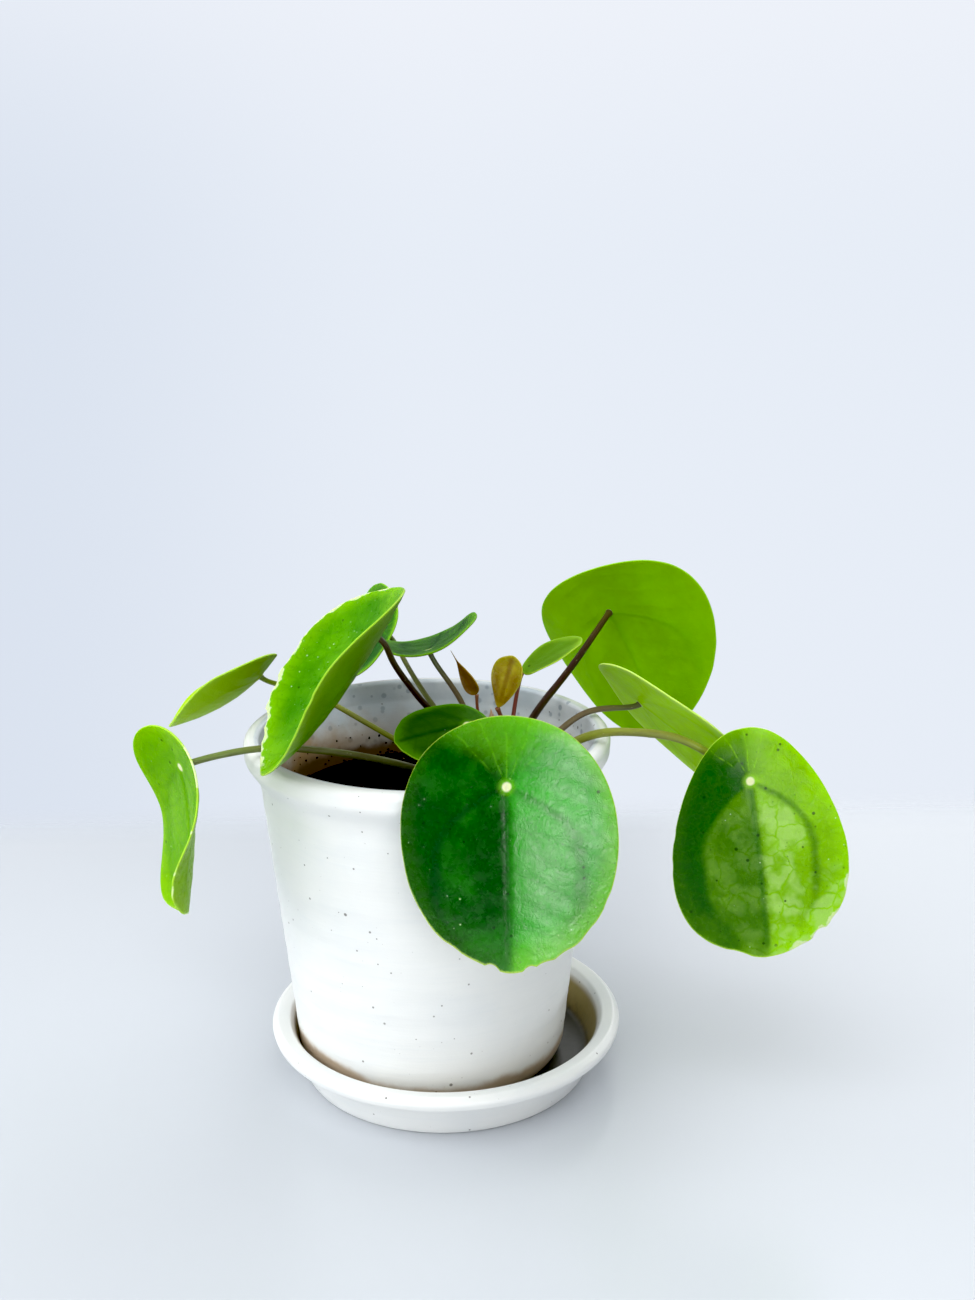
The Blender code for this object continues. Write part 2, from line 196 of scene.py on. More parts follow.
def roundedCorners(corners, step=9.0):
    # the section's points, each corner that has a rounding turned into an arc
    points = []
    for index, corner in enumerate(corners):
        here = Vector(corner[:2])
        if len(corner) < 3:
            points.append(here)
            continue
        before = (Vector(corners[index - 1][:2]) - here).normalized()
        after = (Vector(corners[(index + 1) % len(corners)][:2]) - here).normalized()
        half = before.angle(after) / 2
        reach = corner[2] / tan(half)
        centre = here + (before + after).normalized() * corner[2] / sin(half)
        start = here + before * reach - centre
        turn = start.angle_signed(here + after * reach - centre)
        count = max(2, ceil(abs(degrees(turn)) / step))
        for part in range(count + 1):
            angle = atan2(start.y, start.x) - turn * part / count
            points.append(centre + Vector((cos(angle), sin(angle))) * corner[2])
    return points


def spinAround(bm, steps, weld):
    # turns what is drawn in the bmesh about Z into a closed skin
    bmesh.ops.spin(bm, geom=bm.verts[:] + bm.edges[:], cent=(0, 0, 0), axis=(0, 0, 1),
                   angle=2 * pi, steps=steps, use_merge=True)
    bmesh.ops.remove_doubles(bm, verts=bm.verts[:], dist=weld)
    bmesh.ops.recalc_face_normals(bm, faces=bm.faces[:])


def turnedSection(corners, steps, longest, closed=True):
    # spins a section about Z, in millimetres, with no edge along it longer than asked
    bm = bmesh.new()
    verts = [bm.verts.new((point[0], 0.0, point[1])) for point in roundedCorners(corners)]
    pairs = list(zip(verts, verts[1:])) + ([(verts[-1], verts[0])] if closed else [])
    edges = [bm.edges.new(pair) for pair in pairs]
    for cuts in range(1, 160):
        tooLong = [edge for edge in edges if ceil(edge.calc_length() / longest) - 1 == cuts]
        if tooLong:
            bmesh.ops.subdivide_edges(bm, edges=tooLong, cuts=cuts)
    spinAround(bm, steps, 0.002)
    return bm


# The pot and its saucer

saucerShape = dict(
    section=[(0.0, 5.0), (52.6, 5.0, 2.5), (56.8, 17.6, 1.5), (58.2, 19.8, 1.4), (62.6, 20.4, 1.5),
             (64.9, 18.4, 2.0), (64.2, 15.6, 1.4), (57.3, 12.8, 3.0), (52.8, 0.0, 1.5), (0.0, 0.0)],
    steps=192,
    longest=1.6,
    floor=5.0,           # height of the dish's floor
    wallFoot=53.6,       # radius that parts the inside from the outside, at the floor
    wallSlope=0.333,
    ringDepth=0.07,
    lipShrink=0.06,
    lipWaver=0.12,
)

potShape = dict(
    axis=(-5.4, -0.6),
    section=[(59.4, 129.9, 1.6), (64.9, 129.9, 2.6), (64.6, 123.2, 5.0), (59.6, 115.5, 12.0), (49.6, 17.0),
             (48.6, 5.3, 9.0), (37.0, 5.3), (36.0, 6.5), (6.0, 6.5), (6.0, 12.0), (45.0, 12.0, 8.0),
             (54.6, 113.0, 20.0), (58.2, 122.0, 6.0)],
    steps=192,
    longest=1.3,
    floor=12.0,          # height of the pot's floor inside
    wallFoot=48.2,       # radius of the middle of the wall, at the floor
    wallSlope=0.107,
    ringDepth=0.12,      # how deep the throwing rings are
    rimWaver=0.12,       # how much the hand-thrown rim rises and falls
)

glazeLook = dict(
    white=(0.80, 0.81, 0.80),
    cool=(0.70, 0.735, 0.76),
    # painted shade: darker, bluer clouds inside the pot
    shadedThroat=(0.50, 0.56, 0.61),
    speck=(0.10, 0.085, 0.08),
    blue=(0.27, 0.33, 0.39),
    ochre=(0.36, 0.21, 0.07),
    brown=(0.12, 0.07, 0.03),
    # the saucer's floor: partly stain, partly painted shade under the pot
    damp=(0.075, 0.075, 0.062),
    olive=(0.38, 0.31, 0.13),
    # darker still by the pot's foot: partly wet stain, partly painted shade in the gap
    wetAndShade=(0.04, 0.04, 0.03),
    relief=0.00012,      # metres
)


def ringRelief(height, angle, seed):
    # faint throwing rings, wandering a little round the pot
    wander = noise.noise(Vector((cos(angle) * 0.7, sin(angle) * 0.7, seed)))
    broad = sin(height * 0.62 + wander * 1.6 + 1.1 * sin(height * 0.11))
    fine = noise.noise(Vector((cos(angle) * 0.9, sin(angle) * 0.9, height * 0.75 + seed)))
    return 0.55 * broad + 0.9 * fine


def makePot():
    shape = potShape
    bm = turnedSection(shape["section"], shape["steps"], shape["longest"])
    inside = bm.verts.layers.float.new("inside")
    for vert in bm.verts:
        radius = hypot(vert.co.x, vert.co.y)
        angle = atan2(vert.co.y, vert.co.x)
        middle = shape["wallFoot"] + (vert.co.z - shape["floor"]) * shape["wallSlope"]
        inner = 1.0 if radius < middle and vert.co.z > shape["floor"] - 0.1 else 0.0
        vert[inside] = inner
        onWall = smoothly(vert.co.z, 13, 22) * (1 - smoothly(vert.co.z, 122, 128)) if radius > 40 else 0.0
        push = shape["ringDepth"] * ringRelief(vert.co.z, angle, 3.0 + inner) * onWall
        waver = shape["rimWaver"] * noise.noise(Vector((cos(angle), sin(angle), 9.0)))
        lift = waver * smoothly(vert.co.z, 118, 126)
        vert.co += Vector((cos(angle) * push, sin(angle) * push, lift))
    bmesh.ops.translate(bm, verts=bm.verts[:], vec=(*shape["axis"], 0.0))
    finishMesh("pot_glazed", bm, potFinish(), "pot")


def makeSaucer():
    shape = saucerShape
    bm = turnedSection(shape["section"], shape["steps"], shape["longest"], closed=False)
    inside = bm.verts.layers.float.new("inside")
    for vert in bm.verts:
        radius = hypot(vert.co.x, vert.co.y)
        angle = atan2(vert.co.y, vert.co.x)
        wall = shape["wallFoot"] + (vert.co.z - shape["floor"]) * shape["wallSlope"]
        vert[inside] = 1.0 if radius < wall and vert.co.z > shape["floor"] - 0.1 else 0.0
        lip = smoothly(vert.co.z, 12, 16)
        onWall = smoothly(radius, 50, 54) * smoothly(vert.co.z, 1, 4)
        push = shape["ringDepth"] * ringRelief(vert.co.z, angle, 12.0) * onWall - shape["lipShrink"] * lip
        lift = shape["lipWaver"] * noise.noise(Vector((cos(angle) * 0.8, sin(angle) * 0.8, 4.0))) * lip
        vert.co += Vector((cos(angle) * push, sin(angle) * push, lift))
    finishMesh("saucer_glazed", bm, saucerFinish(), "saucer")


def glazeBase(place):
    # white glaze with cool clouds and sparse dark specks
    look = glazeLook
    cloud = cloudy(place, 0.035, 4.0)
    streak = cloudy(stretched(place, (0.05, 0.05, 0.55)), 1.0, 3.0)
    dust = dots(shifted(place, (3.0, 17.0, 9.0)), 0.6, 0.03, 0.13, 0.16)
    small = dots(place, 0.24, 0.05, 0.13, 0.55)
    specks = larger(small, dots(shifted(place, (31.0, 7.0, 3.0)), 0.085, 0.04, 0.07, 0.5))
    colour = layered(
        look["white"],
        (fade(cloud, 0.42, 0.72, 0.0, 0.35), look["cool"]),
        (fade(streak, 0.5, 0.8, 0.0, 0.25), look["cool"]),
        (dust * 0.35, look["speck"]),
        (specks * 0.8, look["speck"]))
    height = cloudy(place, 1.7, 3.0) * 0.25 + streak * 1.1 - specks * 0.35
    return colour, height, specks, cloud


def dressGlaze(shader, colour, shine, height):
    dress(shader, colour, shine, height, glazeLook["relief"], 0.8,
          Coat_Weight=0.25, Coat_Roughness=0.28, IOR=1.5)


def potFinish():
    material, tree, shader = newFinish("glaze_speckled")
    look = glazeLook
    place = inMillimetres(tree)
    x, y, z = apart(place)
    colour, height, specks, cloud = glazeBase(place)
    # the throat inside is painted darker and bluer, as shade, and is more speckled
    # soil water has stained its wall low down, most at the left
    blotch = dots(shifted(place, (5.0, 3.0, 40.0)), 0.3, 0.12, 0.42, 0.55)
    damp = cloudy(place, 0.09, 5.0)
    low = fade(z + damp * -22.0, 97.0, 113.0, 1.0, 0.0)
    shadedThroat = layered(
        look["cool"],
        (fade(cloud, 0.35, 0.65), look["shadedThroat"]),
        (blotch * 0.7, look["blue"]),
        (specks * 0.8, look["speck"]),
        (low * fade(x, -62.0, -5.0, 1.0, 0.25), look["ochre"]),
        (fade(z + damp * -9.0, 100.0, 104.0, 1.0, 0.0), look["brown"]))
    # the water line at the foot stands higher at the left, where the saucer is close
    tide = z - fade(x, -15.0, -46.0, 0.0, 4.5)
    foot = fade(tide + damp * -5.0, 11.5, 15.0, 1.0, 0.0)
    colour = layered(colour, (attribute(tree, "inside", "Fac"), shadedThroat), (foot * 0.7, look["ochre"]))
    dressGlaze(shader, colour, fade(cloudy(place, 0.25, 4.0), 0.3, 0.7, 0.30, 0.42), height)
    return material


def saucerFinish():
    material, tree, shader = newFinish("glaze_saucer")
    look = glazeLook
    place = inMillimetres(tree)
    x, y, z = apart(place)
    colour, height = glazeBase(place)[:2]
    grain = cloudy(place, 0.5, 6.0)
    radius = (x * x + y * y).calc("SQRT")
    # dark round the foot of the pot, partly water stain and partly painted shade in the narrow gap by the
    # pot; ochre up the wall
    up = z + cloudy(place, 0.07, 5.0) * 3.0
    well = layered(
        look["damp"],
        (fade(up, 6.0, 9.5), look["olive"]),
        (fade(radius + grain * 4.0, 57.0, 51.5), look["wetAndShade"]),
        (fade(z, 14.5, 18.5), colour))
    colour = blend(attribute(tree, "inside", "Fac"), colour, well)
    dressGlaze(shader, colour, fade(grain, 0.3, 0.7, 0.28, 0.42), height)
    return material


# The soil and the stem

soilShape = dict(
    edge=53.2, top=103.0, foot=12.3, footEdge=44.6, footRound=8.0,
    rise=1.1,            # height of the broad mounds
    lump=0.9,            # height of the small lumps
    hump=1.6,            # height of the middling ones
    steps=150,
    longest=1.4,
    seed=41,
    crumbs=620,
    smallest=0.35,       # radius of a crumb
    spread=1.25,         # how much larger the largest crumb is
    wallCrumbs=46,
    wallRadius=53.55,    # the pot's inner wall at the soil's top
    wallSlope=0.095,
    clingSide=2.5,       # the side where most bits cling to the wall, in radians
)

soilLook = dict(
    dark=(0.002, 0.0015, 0.0012),
    light=(0.010, 0.0065, 0.004),
    grain=(0.026, 0.016, 0.009),
    bits=(0.22, 0.15, 0.08),
)

stemShape = dict(
    axis=(21.0, 3.0), radius=4.9, foot=84.0, top=121.5,
    steps=56,
    longest=0.5,
    knobbly=0.55,        # how uneven the bark is
    scarSpacing=3.4,     # from one old leaf's scar to the next
    scarDepth=0.35,
)

stemLook = dict(
    dark=(0.045, 0.026, 0.014),
    light=(0.21, 0.135, 0.075),
    green=(0.11, 0.12, 0.04),
    corky=(0.32, 0.24, 0.15),
)


def soilHeight(x, y):
    return soilShape["rise"] * (sin(0.11 * x + 0.6) * cos(0.09 * y) + 0.5 * sin(0.23 * y - 0.17 * x))


def addCrumb(bm, place, size, chance):
    # a squashed and knocked lump
    made = bmesh.ops.create_icosphere(bm, subdivisions=1, radius=size)["verts"]
    for vert in made:
        vert.co *= chance.uniform(0.65, 1.2)
    flat = Matrix.Diagonal((chance.uniform(0.7, 1.3), chance.uniform(0.6, 1.1), chance.uniform(0.5, 0.9)))
    turn = Euler((chance.uniform(0, 6), chance.uniform(0, 6), chance.uniform(0, 6))).to_matrix()
    bmesh.ops.transform(bm, verts=made, matrix=Matrix.Translation(place) @ (turn @ flat).to_4x4())


def makeSoil():
    shape = soilShape
    top = shape["top"]
    section = [(0.0, top), (shape["edge"], top, 1.0),
               (shape["footEdge"], shape["foot"], shape["footRound"]), (0.0, shape["foot"])]
    bm = turnedSection(section, shape["steps"], shape["longest"], closed=False)
    for vert in bm.verts:
        if vert.co.z > top - 1.5:
            inward = smoothly(shape["edge"] - hypot(vert.co.x, vert.co.y), 0.0, 6.0)
            lumps = noise.fractal(vert.co * 0.35, 0.8, 2.0, 4) * shape["lump"]
            lumps += noise.noise(vert.co * 0.12) * shape["hump"]
            vert.co.z += (soilHeight(vert.co.x, vert.co.y) + lumps) * inward
    chance = Random(shape["seed"])
    for _ in range(shape["crumbs"]):
        radius = shape["edge"] * chance.random() ** 0.5 * 0.985
        angle = chance.uniform(0, 2 * pi)
        x, y = radius * cos(angle), radius * sin(angle)
        size = shape["smallest"] + shape["spread"] * chance.random() ** 2.5
        addCrumb(bm, Vector((x, y, top + soilHeight(x, y) + size * 0.3)), size, chance)
    for _ in range(shape["wallCrumbs"]):
        # bits left on the wall by watering
        angle = chance.gauss(shape["clingSide"], 0.8)
        height = top + 1.0 + 9.0 * chance.random() ** 2
        radius = shape["wallRadius"] + (height - top) * shape["wallSlope"]
        size = chance.uniform(0.25, 0.7)
        addCrumb(bm, Vector((radius * cos(angle), radius * sin(angle), height)), size, chance)
    bmesh.ops.translate(bm, verts=bm.verts[:], vec=(*potShape["axis"], 0.0))
    finishMesh("soil_crumbly", bm, soilFinish(), "soil")


def soilFinish():
    material, tree, shader = newFinish("soil_dark")
    look = soilLook
    place = inMillimetres(tree)
    coarse = cloudy(place, 0.25, 5.0)
    fine = cloudy(place, 1.6, 5.0, 0.65)
    colour = layered(
        look["dark"],
        (fade(coarse, 0.35, 0.7), look["light"]),
        (fade(fine, 0.55, 0.8), look["grain"]),
        (dots(place, 0.22, 0.05, 0.16, 0.12) * 0.8, look["bits"]))
    shine = fade(coarse, 0.3, 0.7, 0.98, 0.75)
    dress(shader, colour, shine, fine + coarse, 0.0006, Specular_IOR_Level=0.12)
    return material


def makeStem():
    shape = stemShape
    radius, foot, top = shape["radius"], shape["foot"], shape["top"]
    section = [(0.0, foot), (radius, foot, 0.5), (radius, top, 1.6), (0.0, top)]
    bm = turnedSection(section, shape["steps"], shape["longest"], closed=False)
    for vert in bm.verts:
        x, y, z = vert.co
        away = hypot(x, y) / radius
        angle = atan2(y, x)
        knot = noise.fractal(Vector((cos(angle) * 1.4, sin(angle) * 1.4, z * 0.16)), 0.9, 2.0, 4)
        wave = cos((z - foot) / shape["scarSpacing"] * 2 * pi + angle * 2 + knot * 2)
        push = (shape["knobbly"] * knot - shape["scarDepth"] * max(0.0, wave) ** 6) * away
        vert.co += Vector((cos(angle) * push, sin(angle) * push, 0.0))
        if z > top - 1.0:
            vert.co.z += 0.6 * noise.noise(vert.co * 0.6) - 0.5 * away
    bmesh.ops.translate(bm, verts=bm.verts[:], vec=(*shape["axis"], 0.0))
    finishMesh("stem_bark", bm, stemFinish(), "stem")


def stemFinish():
    material, tree, shader = newFinish("bark_brown")
    look = stemLook
    place = inMillimetres(tree)
    fibre = cloudy(stretched(place, (1.4, 1.4, 0.25)), 1.0, 5.0, 0.6)
    patch = cloudy(place, 0.3, 4.0)
    corky = dots(place, 0.55, 0.12, 0.4, 0.3)
    colour = layered(
        look["dark"],
        (fade(fibre, 0.3, 0.7), look["light"]),
        (fade(patch, 0.5, 0.7, 0.0, 0.6), look["green"]),
        (corky * 0.6, look["corky"]))
    dress(shader, colour, fade(patch, 0.3, 0.7, 0.65, 0.9), fibre + corky, 0.0004)
    return material


# The leaves and their stalks. A blade is placed by the point where its stalk meets it.

bladeShape = dict(
    thickness=0.7, rings=52, steps=232, smallRings=18, smallSteps=96, smallBelow=25.0,
    midribSink=0.30, lateralSink=0.05, rungSink=0.03,    # how deep the veins lie on top
    rungSpacing=7.5,     # from one cross vein to the next
    quilt=0.07,          # how far the skin swells between the side veins
    ribRise=0.30,        # how far the veins stand out underneath
    worn=0.22,           # how uneven the margin is
)

# Outline: length, width, stalkAt, egg, tip, shear, lop, lobes, and nicks as (place, width, depth) round it.
# Bend: arch and curl down the length, camber of the two halves, twist, tipTwist, waves of the edge, crease.
# Stalk: its radius, root (angle and height on the stem) or crown, the way it takes, lead under the blade.
# Tone: mottled and tint set the clouds, paintedLightRightHalf lightens the right half as painted light,
# paintedShadeOuterLeft darkens the outer left as painted shade.
# Edge: paleMarginAndGlowLeft, paleTop, paleUnderAndSheen and paleRimAndHighlightShown say how pale it is,
# partly with painted glow, sheen and highlight; chalkAndGlints and what follows say how worn, partly with
# painted glints.
# Veins: veined, veinsRight, midribShown, veinWidth, netted; padGlints, the painted glints on the pads, and
# wrinkled are the skin between them.

leaves = {
    "front": dict(
        at=(18.4, -80, 137.9), turn=(5.2, 68.1, -92), length=77.5, width=71.7, stalkAt=0.281, egg=-0.08,
        tip=1.5, shear=0.045, lop=-0.02, lobes=(-0.008, 0.006, -0.005, -0.005), arch=13.1,
        camber=(21.9, 36.8), twist=-7, wave=0.5, stalk=1.5, root=(-88, 111), way=[(20, -18, 127),
            (19, -38, 142), (19, -56, 148), (18.2, -69, 145)], look="deep", skin="olive", crease=0.45,
        mottled=0.22, paintedLightRightHalf=0.63, paintedShadeOuterLeft=0.12, paleMarginAndGlowLeft=0.10, paleTop=0.36, veined=0.95,
        wrinkled=0.8, netted=0.6, veinsRight=0.4, midribShown=0.35, nicks=[(-9, 4, 0.8), (11, 3.5, 0.6),
            (20, 5, 0.4), (31, 6, 0.3), (47, 5, 0.2), (-31, 5, 0.2), (64, 4, 0.2)]),
    "right": dict(
        at=(103.8, -32, 119.9), turn=(24.8, 74, -65), length=81.5, width=60.8, stalkAt=0.245, egg=0.36,
        tip=1.5, shear=-0.028, lop=0.008, lobes=(0.024, -0.006, -0.017, 0), arch=18.6,
        camber=(14.2, 33.5), twist=6.1, wave=0.6, stalk=1.5, root=(-28, 112), way=[(37, -8, 121.5),
            (45, -14, 129), (54, -20, 134.5), (64, -23.5, 135.5), (77, -23, 134), (88, -20, 129)],
        look="fresh", skin="pale", crease=0.6, mottled=0.18, paintedLightRightHalf=0.44, paintedShadeOuterLeft=0.34,
        paleMarginAndGlowLeft=0.1, paleTop=0.28, veinWidth=2.9, wrinkled=0.5, veined=0.65, padGlints=0.42, netted=0.45,
        # the pale patches by this leaf's notch are painted glints
        tint=0.14, chalkAndGlints=0.102, chalkAndGlintsSide=1, chalkAndGlintsFrom=0.6, nicks=[(27, 4.5, 0.85), (38, 4, 0.2),
            (-14, 6, 0.3), (58, 5, 0.2), (-80, 4, 0.3), (-96, 4, 0.3)]),
    "left_tall": dict(
        at=(-22, -34, 173.6), turn=(13.5, 54, 206), length=76, width=72, stalkAt=0.24, tip=1, arch=-10,
        curl=-42, camber=(-50, -46), wave=0.4, stalk=1.15, root=(196, 119), way=[(6, -1.5, 128),
            (-5, -5, 138.5), (-12, -14, 151), (-18, -26, 164)], look="vivid", skin="maroon", veined=0.25,
        chalkAndGlints=0.085, chalkAndGlintsSide=-1, nicks=[(-92, 6, 0.8), (-84, 5, 0.6), (-69, 6, 0.9), (-60, 4, 0.5),
            (-47, 7, 1.2), (-37, 5, 0.8), (75, 4, 0.4)]),
    "left_behind": dict(
        at=(-22, 46, 153.5), turn=(-60, 20, 120), length=44, width=42, stalkAt=0.22, tip=1, arch=20,
        camber=(-22, -22), wave=0.4, stalk=1.0, root=(146, 113), way=[(7, 12, 121), (-1, 15, 130),
            (-8, 24, 138), (-14, 37, 144.5)], look="lit", skin="olive"),
    "middle": dict(
        at=(-4.5, 6, 157.2), turn=(-21, 6.4, 80), length=45.7, width=38.4, stalkAt=0.277, tip=1,
        arch=-6.5, camber=(-53, -23), twist=-13.3, wave=0.3, stalk=1.0, root=(160, 118),
        way=[(10, 5.5, 122), (9.8, 4.8, 133), (3.5, 5.2, 144.5)], look="shade", skin="brown",
        paleRimAndHighlightShown=0.25),
    "left_far": dict(
        at=(-66.7, 25, 143), turn=(17.6, 43.4, 196), length=48.4, width=56.6, stalkAt=0.2, egg=-0.037,
        tip=0.5, shear=-0.033, lop=0.021, lobes=(-0.024, 0.018, -0.007, -0.011), arch=-47.3, curl=9.6,
        camber=(-47.8, -35.8), twist=-6.7, wave=0.3, stalk=1.05, root=(172, 110), way=[(-4, 6, 116),
            (-18, 10, 123), (-36, 17, 132), (-51, 21, 140)], look="far", skin="pale", veined=0.1,
        netted=0.2, mottled=0.3),
    "left_low": dict(
        at=(-87.2, -35, 129.9), turn=(-30.7, 102, 185.3), length=68.3, width=57.8, stalkAt=0.23,
        egg=0.103, tip=0.5, shear=0.017, lop=-0.01, lobes=(-0.014, -0.049, -0.075, -0.003), arch=-53.4,
        curl=28, camber=(-37.9, -20.3), twist=42.4, tipTwist=-37, wave=1.13, waves=4, phase=-152,
        stalk=1.3, root=(212, 106), way=[(-4, -9, 117), (-28, -16, 126), (-47, -22, 131),
            (-60, -27, 133.5), (-73, -31, 133)], look="sunny", skin="olive", veined=0.35, chalkAndGlints=0.115,
        chalkAndGlintsSide=1, nicks=[(88, 5, 0.5), (60, 4, 0.4)]),
    "small_front": dict(
        at=(8, -30, 141), turn=(-20, 5, 195), length=33, width=30, stalkAt=0.24, tip=0.5, arch=10,
        camber=(10, 10), wave=0.3, stalk=1.0, root=(236, 115), way=[(13, -14, 125), (10, -22, 133)],
        look="shade", skin="olive"),
    "right_back": dict(
        at=(66.3, 60, 156.1), turn=(-56.9, 59.8, 0), length=73.4, width=76.6, stalkAt=0.272, egg=-0.23,
        tip=0.5, shear=0.013, lobes=(0.005, 0.004, -0.002, 0.007), arch=34, camber=(-24.6, -14.6),
        wave=0.5, stalk=1.35, root=(50, 116), way=[(32, 16, 128), (44, 31, 136), (56, 47, 146)],
        look="backlit", skin="maroon", paleUnderAndSheen=0.1),
    "right_middle": dict(
        at=(72.8, 16, 133.1), turn=(-41.2, 29.5, -35), length=70.2, width=66.7, stalkAt=0.284, egg=-0.05,
        tip=0.5, arch=-6.4, camber=(0, 0), twist=-9.7, wave=0.4, stalk=1.15, lead=2.5, root=(6, 114),
        way=[(36, 4.5, 121), (44, 6, 128), (52, 8.5, 133), (62, 12, 132.6)], look="pale", skin="brown",
        # the pale margin underneath partly paints the sheen on its curled edge
        paleUnderAndSheen=0.55),
    "young": dict(
        at=(20.1, -0.9, 138.8), turn=(50, -72, 18.6), length=19, width=10.8, stalkAt=0.06, egg=0.5,
        tip=0.5, arch=-10, camber=(-30, -30), wave=0.2, stalk=0.8, crown=(23, 1.6),
        way=[(22.4, 0.4, 130)], look="ochre", skin="red"),
    "bud": dict(
        at=(11.1, -2, 144.2), turn=(-98.7, -61.8, 180), length=14.5, width=4.4, stalkAt=0.1, egg=-0.8,
        tip=4, arch=0, camber=(-30, -30), wave=0, stalk=0.6, crown=(17.8, 2.4),
        way=[(14.5, 0, 129), (12, -1.5, 136)], look="rusty", skin="red"),
    "narrow": dict(
        at=(31, 6.6, 149.3), turn=(11.8, -29.5, 16.3), length=24.5, width=13, stalkAt=0.1, tip=0.5,
        arch=10, camber=(-20, -20), wave=0.2, stalk=0.75, crown=(24, 5),
        way=[(25.5, 6, 131), (26.5, 7, 140)], look="dull", skin="red"),
}

stipuleShape = dict(
    at=(18.7, 0.6, 123.0), turn=(-151.6, -78.5, -128.7), length=14, width=4.4, stalkAt=0.08, egg=-0.35,
    tip=1.5, arch=6, camber=(-35, -35), wave=0.1)

# each look's rim colour is partly the margin's paler edge and partly a painted highlight on it
leafLooks = {
    "deep": dict(
        dark=(0.0005, 0.052, 0.0005), light=(0.035, 0.420, 0.012), edge=(0.17, 0.50, 0.006),
        vein=(0.0005, 0.040, 0.003), under=(0.06, 0.22, 0.004), paleRimAndHighlight=(0.48, 0.64, 0.08), specks=0.5,
        pins=0.15, rough=0.32, gloss=0.95),
    "fresh": dict(
        dark=(0.006, 0.085, 0.0005), light=(0.30, 0.64, 0.001), edge=(0.30, 0.66, 0.001),
        vein=(0.006, 0.100, 0.0005), under=(0.16, 0.38, 0.004), paleRimAndHighlight=(0.45, 0.70, 0.06), specks=1.7,
        pins=0.08, rough=0.30, gloss=0.28, ior=1.38),
    "vivid": dict(
        dark=(0.040, 0.20, 0.0005), light=(0.12, 0.37, 0.001), edge=(0.21, 0.48, 0.004),
        vein=(0.02, 0.15, 0.001), under=(0.11, 0.27, 0.002), paleRimAndHighlight=(0.32, 0.52, 0.04), specks=0.1, pins=1.0,
        rough=0.36, gloss=0.22),
    "far": dict(
        dark=(0.32, 0.53, 0.010), light=(0.39, 0.61, 0.014), edge=(0.36, 0.58, 0.012),
        vein=(0.24, 0.42, 0.006), under=(0.33, 0.55, 0.012), paleRimAndHighlight=(0.38, 0.58, 0.08), specks=0.0, pins=0.0,
        rough=0.40, gloss=0.2, ior=1.2),
    "sunny": dict(
        dark=(0.10, 0.30, 0.0005), light=(0.155, 0.40, 0.0005), edge=(0.21, 0.46, 0.003),
        vein=(0.06, 0.22, 0.001), under=(0.20, 0.42, 0.006), paleRimAndHighlight=(0.36, 0.58, 0.06), specks=0.3, pins=0.1,
        rough=0.28, gloss=0.12, ior=1.2),
    "shade": dict(
        dark=(0.020, 0.083, 0.006), light=(0.048, 0.162, 0.010), edge=(0.10, 0.30, 0.006),
        vein=(0.005, 0.045, 0.003), under=(0.050, 0.150, 0.003), paleRimAndHighlight=(0.28, 0.50, 0.04), specks=0.2,
        pins=0.1, rough=0.40, gloss=0.14, ior=1.22),
    "lit": dict(
        dark=(0.010, 0.085, 0.002), light=(0.050, 0.220, 0.003), edge=(0.14, 0.42, 0.006),
        vein=(0.010, 0.080, 0.002), under=(0.035, 0.18, 0.003), paleRimAndHighlight=(0.28, 0.50, 0.04), specks=0.2,
        pins=0.1, rough=0.40, gloss=0.2),
    "backlit": dict(
        dark=(0.05, 0.21, 0.0005), light=(0.12, 0.34, 0.001), edge=(0.14, 0.38, 0.002),
        vein=(0.060, 0.24, 0.001), under=(0.19, 0.43, 0.0005), paleRimAndHighlight=(0.26, 0.50, 0.02), specks=0.1,
        pins=0.05, rough=0.45, gloss=0.08),
    "pale": dict(
        dark=(0.06, 0.22, 0.001), light=(0.13, 0.34, 0.001), edge=(0.36, 0.62, 0.02),
        vein=(0.16, 0.40, 0.002), under=(0.41, 0.75, 0.002), paleRimAndHighlight=(0.54, 0.76, 0.16), specks=0.1,
        pins=0.05, rough=0.42, gloss=0.1, ior=1.2),
    "ochre": dict(
        dark=(0.30, 0.21, 0.006), light=(0.58, 0.50, 0.05), edge=(0.30, 0.28, 0.01),
        vein=(0.16, 0.07, 0.002), under=(0.40, 0.28, 0.01), paleRimAndHighlight=(0.42, 0.36, 0.05), specks=0.1, pins=0.0,
        rough=0.33, gloss=0.6),
    "rusty": dict(
        dark=(0.13, 0.060, 0.003), light=(0.27, 0.17, 0.008), edge=(0.22, 0.12, 0.008),
        vein=(0.10, 0.03, 0.002), under=(0.22, 0.13, 0.008), paleRimAndHighlight=(0.30, 0.18, 0.03), specks=0.1, pins=0.0,
        rough=0.42, gloss=0.3),
    "dull": dict(
        dark=(0.09, 0.22, 0.006), light=(0.17, 0.34, 0.012), edge=(0.26, 0.46, 0.02),
        vein=(0.08, 0.18, 0.005), under=(0.27, 0.43, 0.014), paleRimAndHighlight=(0.36, 0.54, 0.06), specks=0.1, pins=0.0,
        rough=0.45, gloss=0.3),
}

stalkLooks = {
    "olive": dict(foot=(0.09, 0.07, 0.025), middle=(0.13, 0.14, 0.03), tip=(0.16, 0.22, 0.05)),
    "pale": dict(foot=(0.13, 0.11, 0.04), middle=(0.22, 0.245, 0.03), tip=(0.20, 0.29, 0.015)),
    "maroon": dict(foot=(0.020, 0.008, 0.007), middle=(0.035, 0.012, 0.009), tip=(0.07, 0.045, 0.014)),
    "brown": dict(foot=(0.09, 0.05, 0.03), middle=(0.15, 0.10, 0.05), tip=(0.10, 0.13, 0.04)),
    "red": dict(foot=(0.16, 0.035, 0.025), middle=(0.24, 0.05, 0.035), tip=(0.2, 0.08, 0.03)),
}


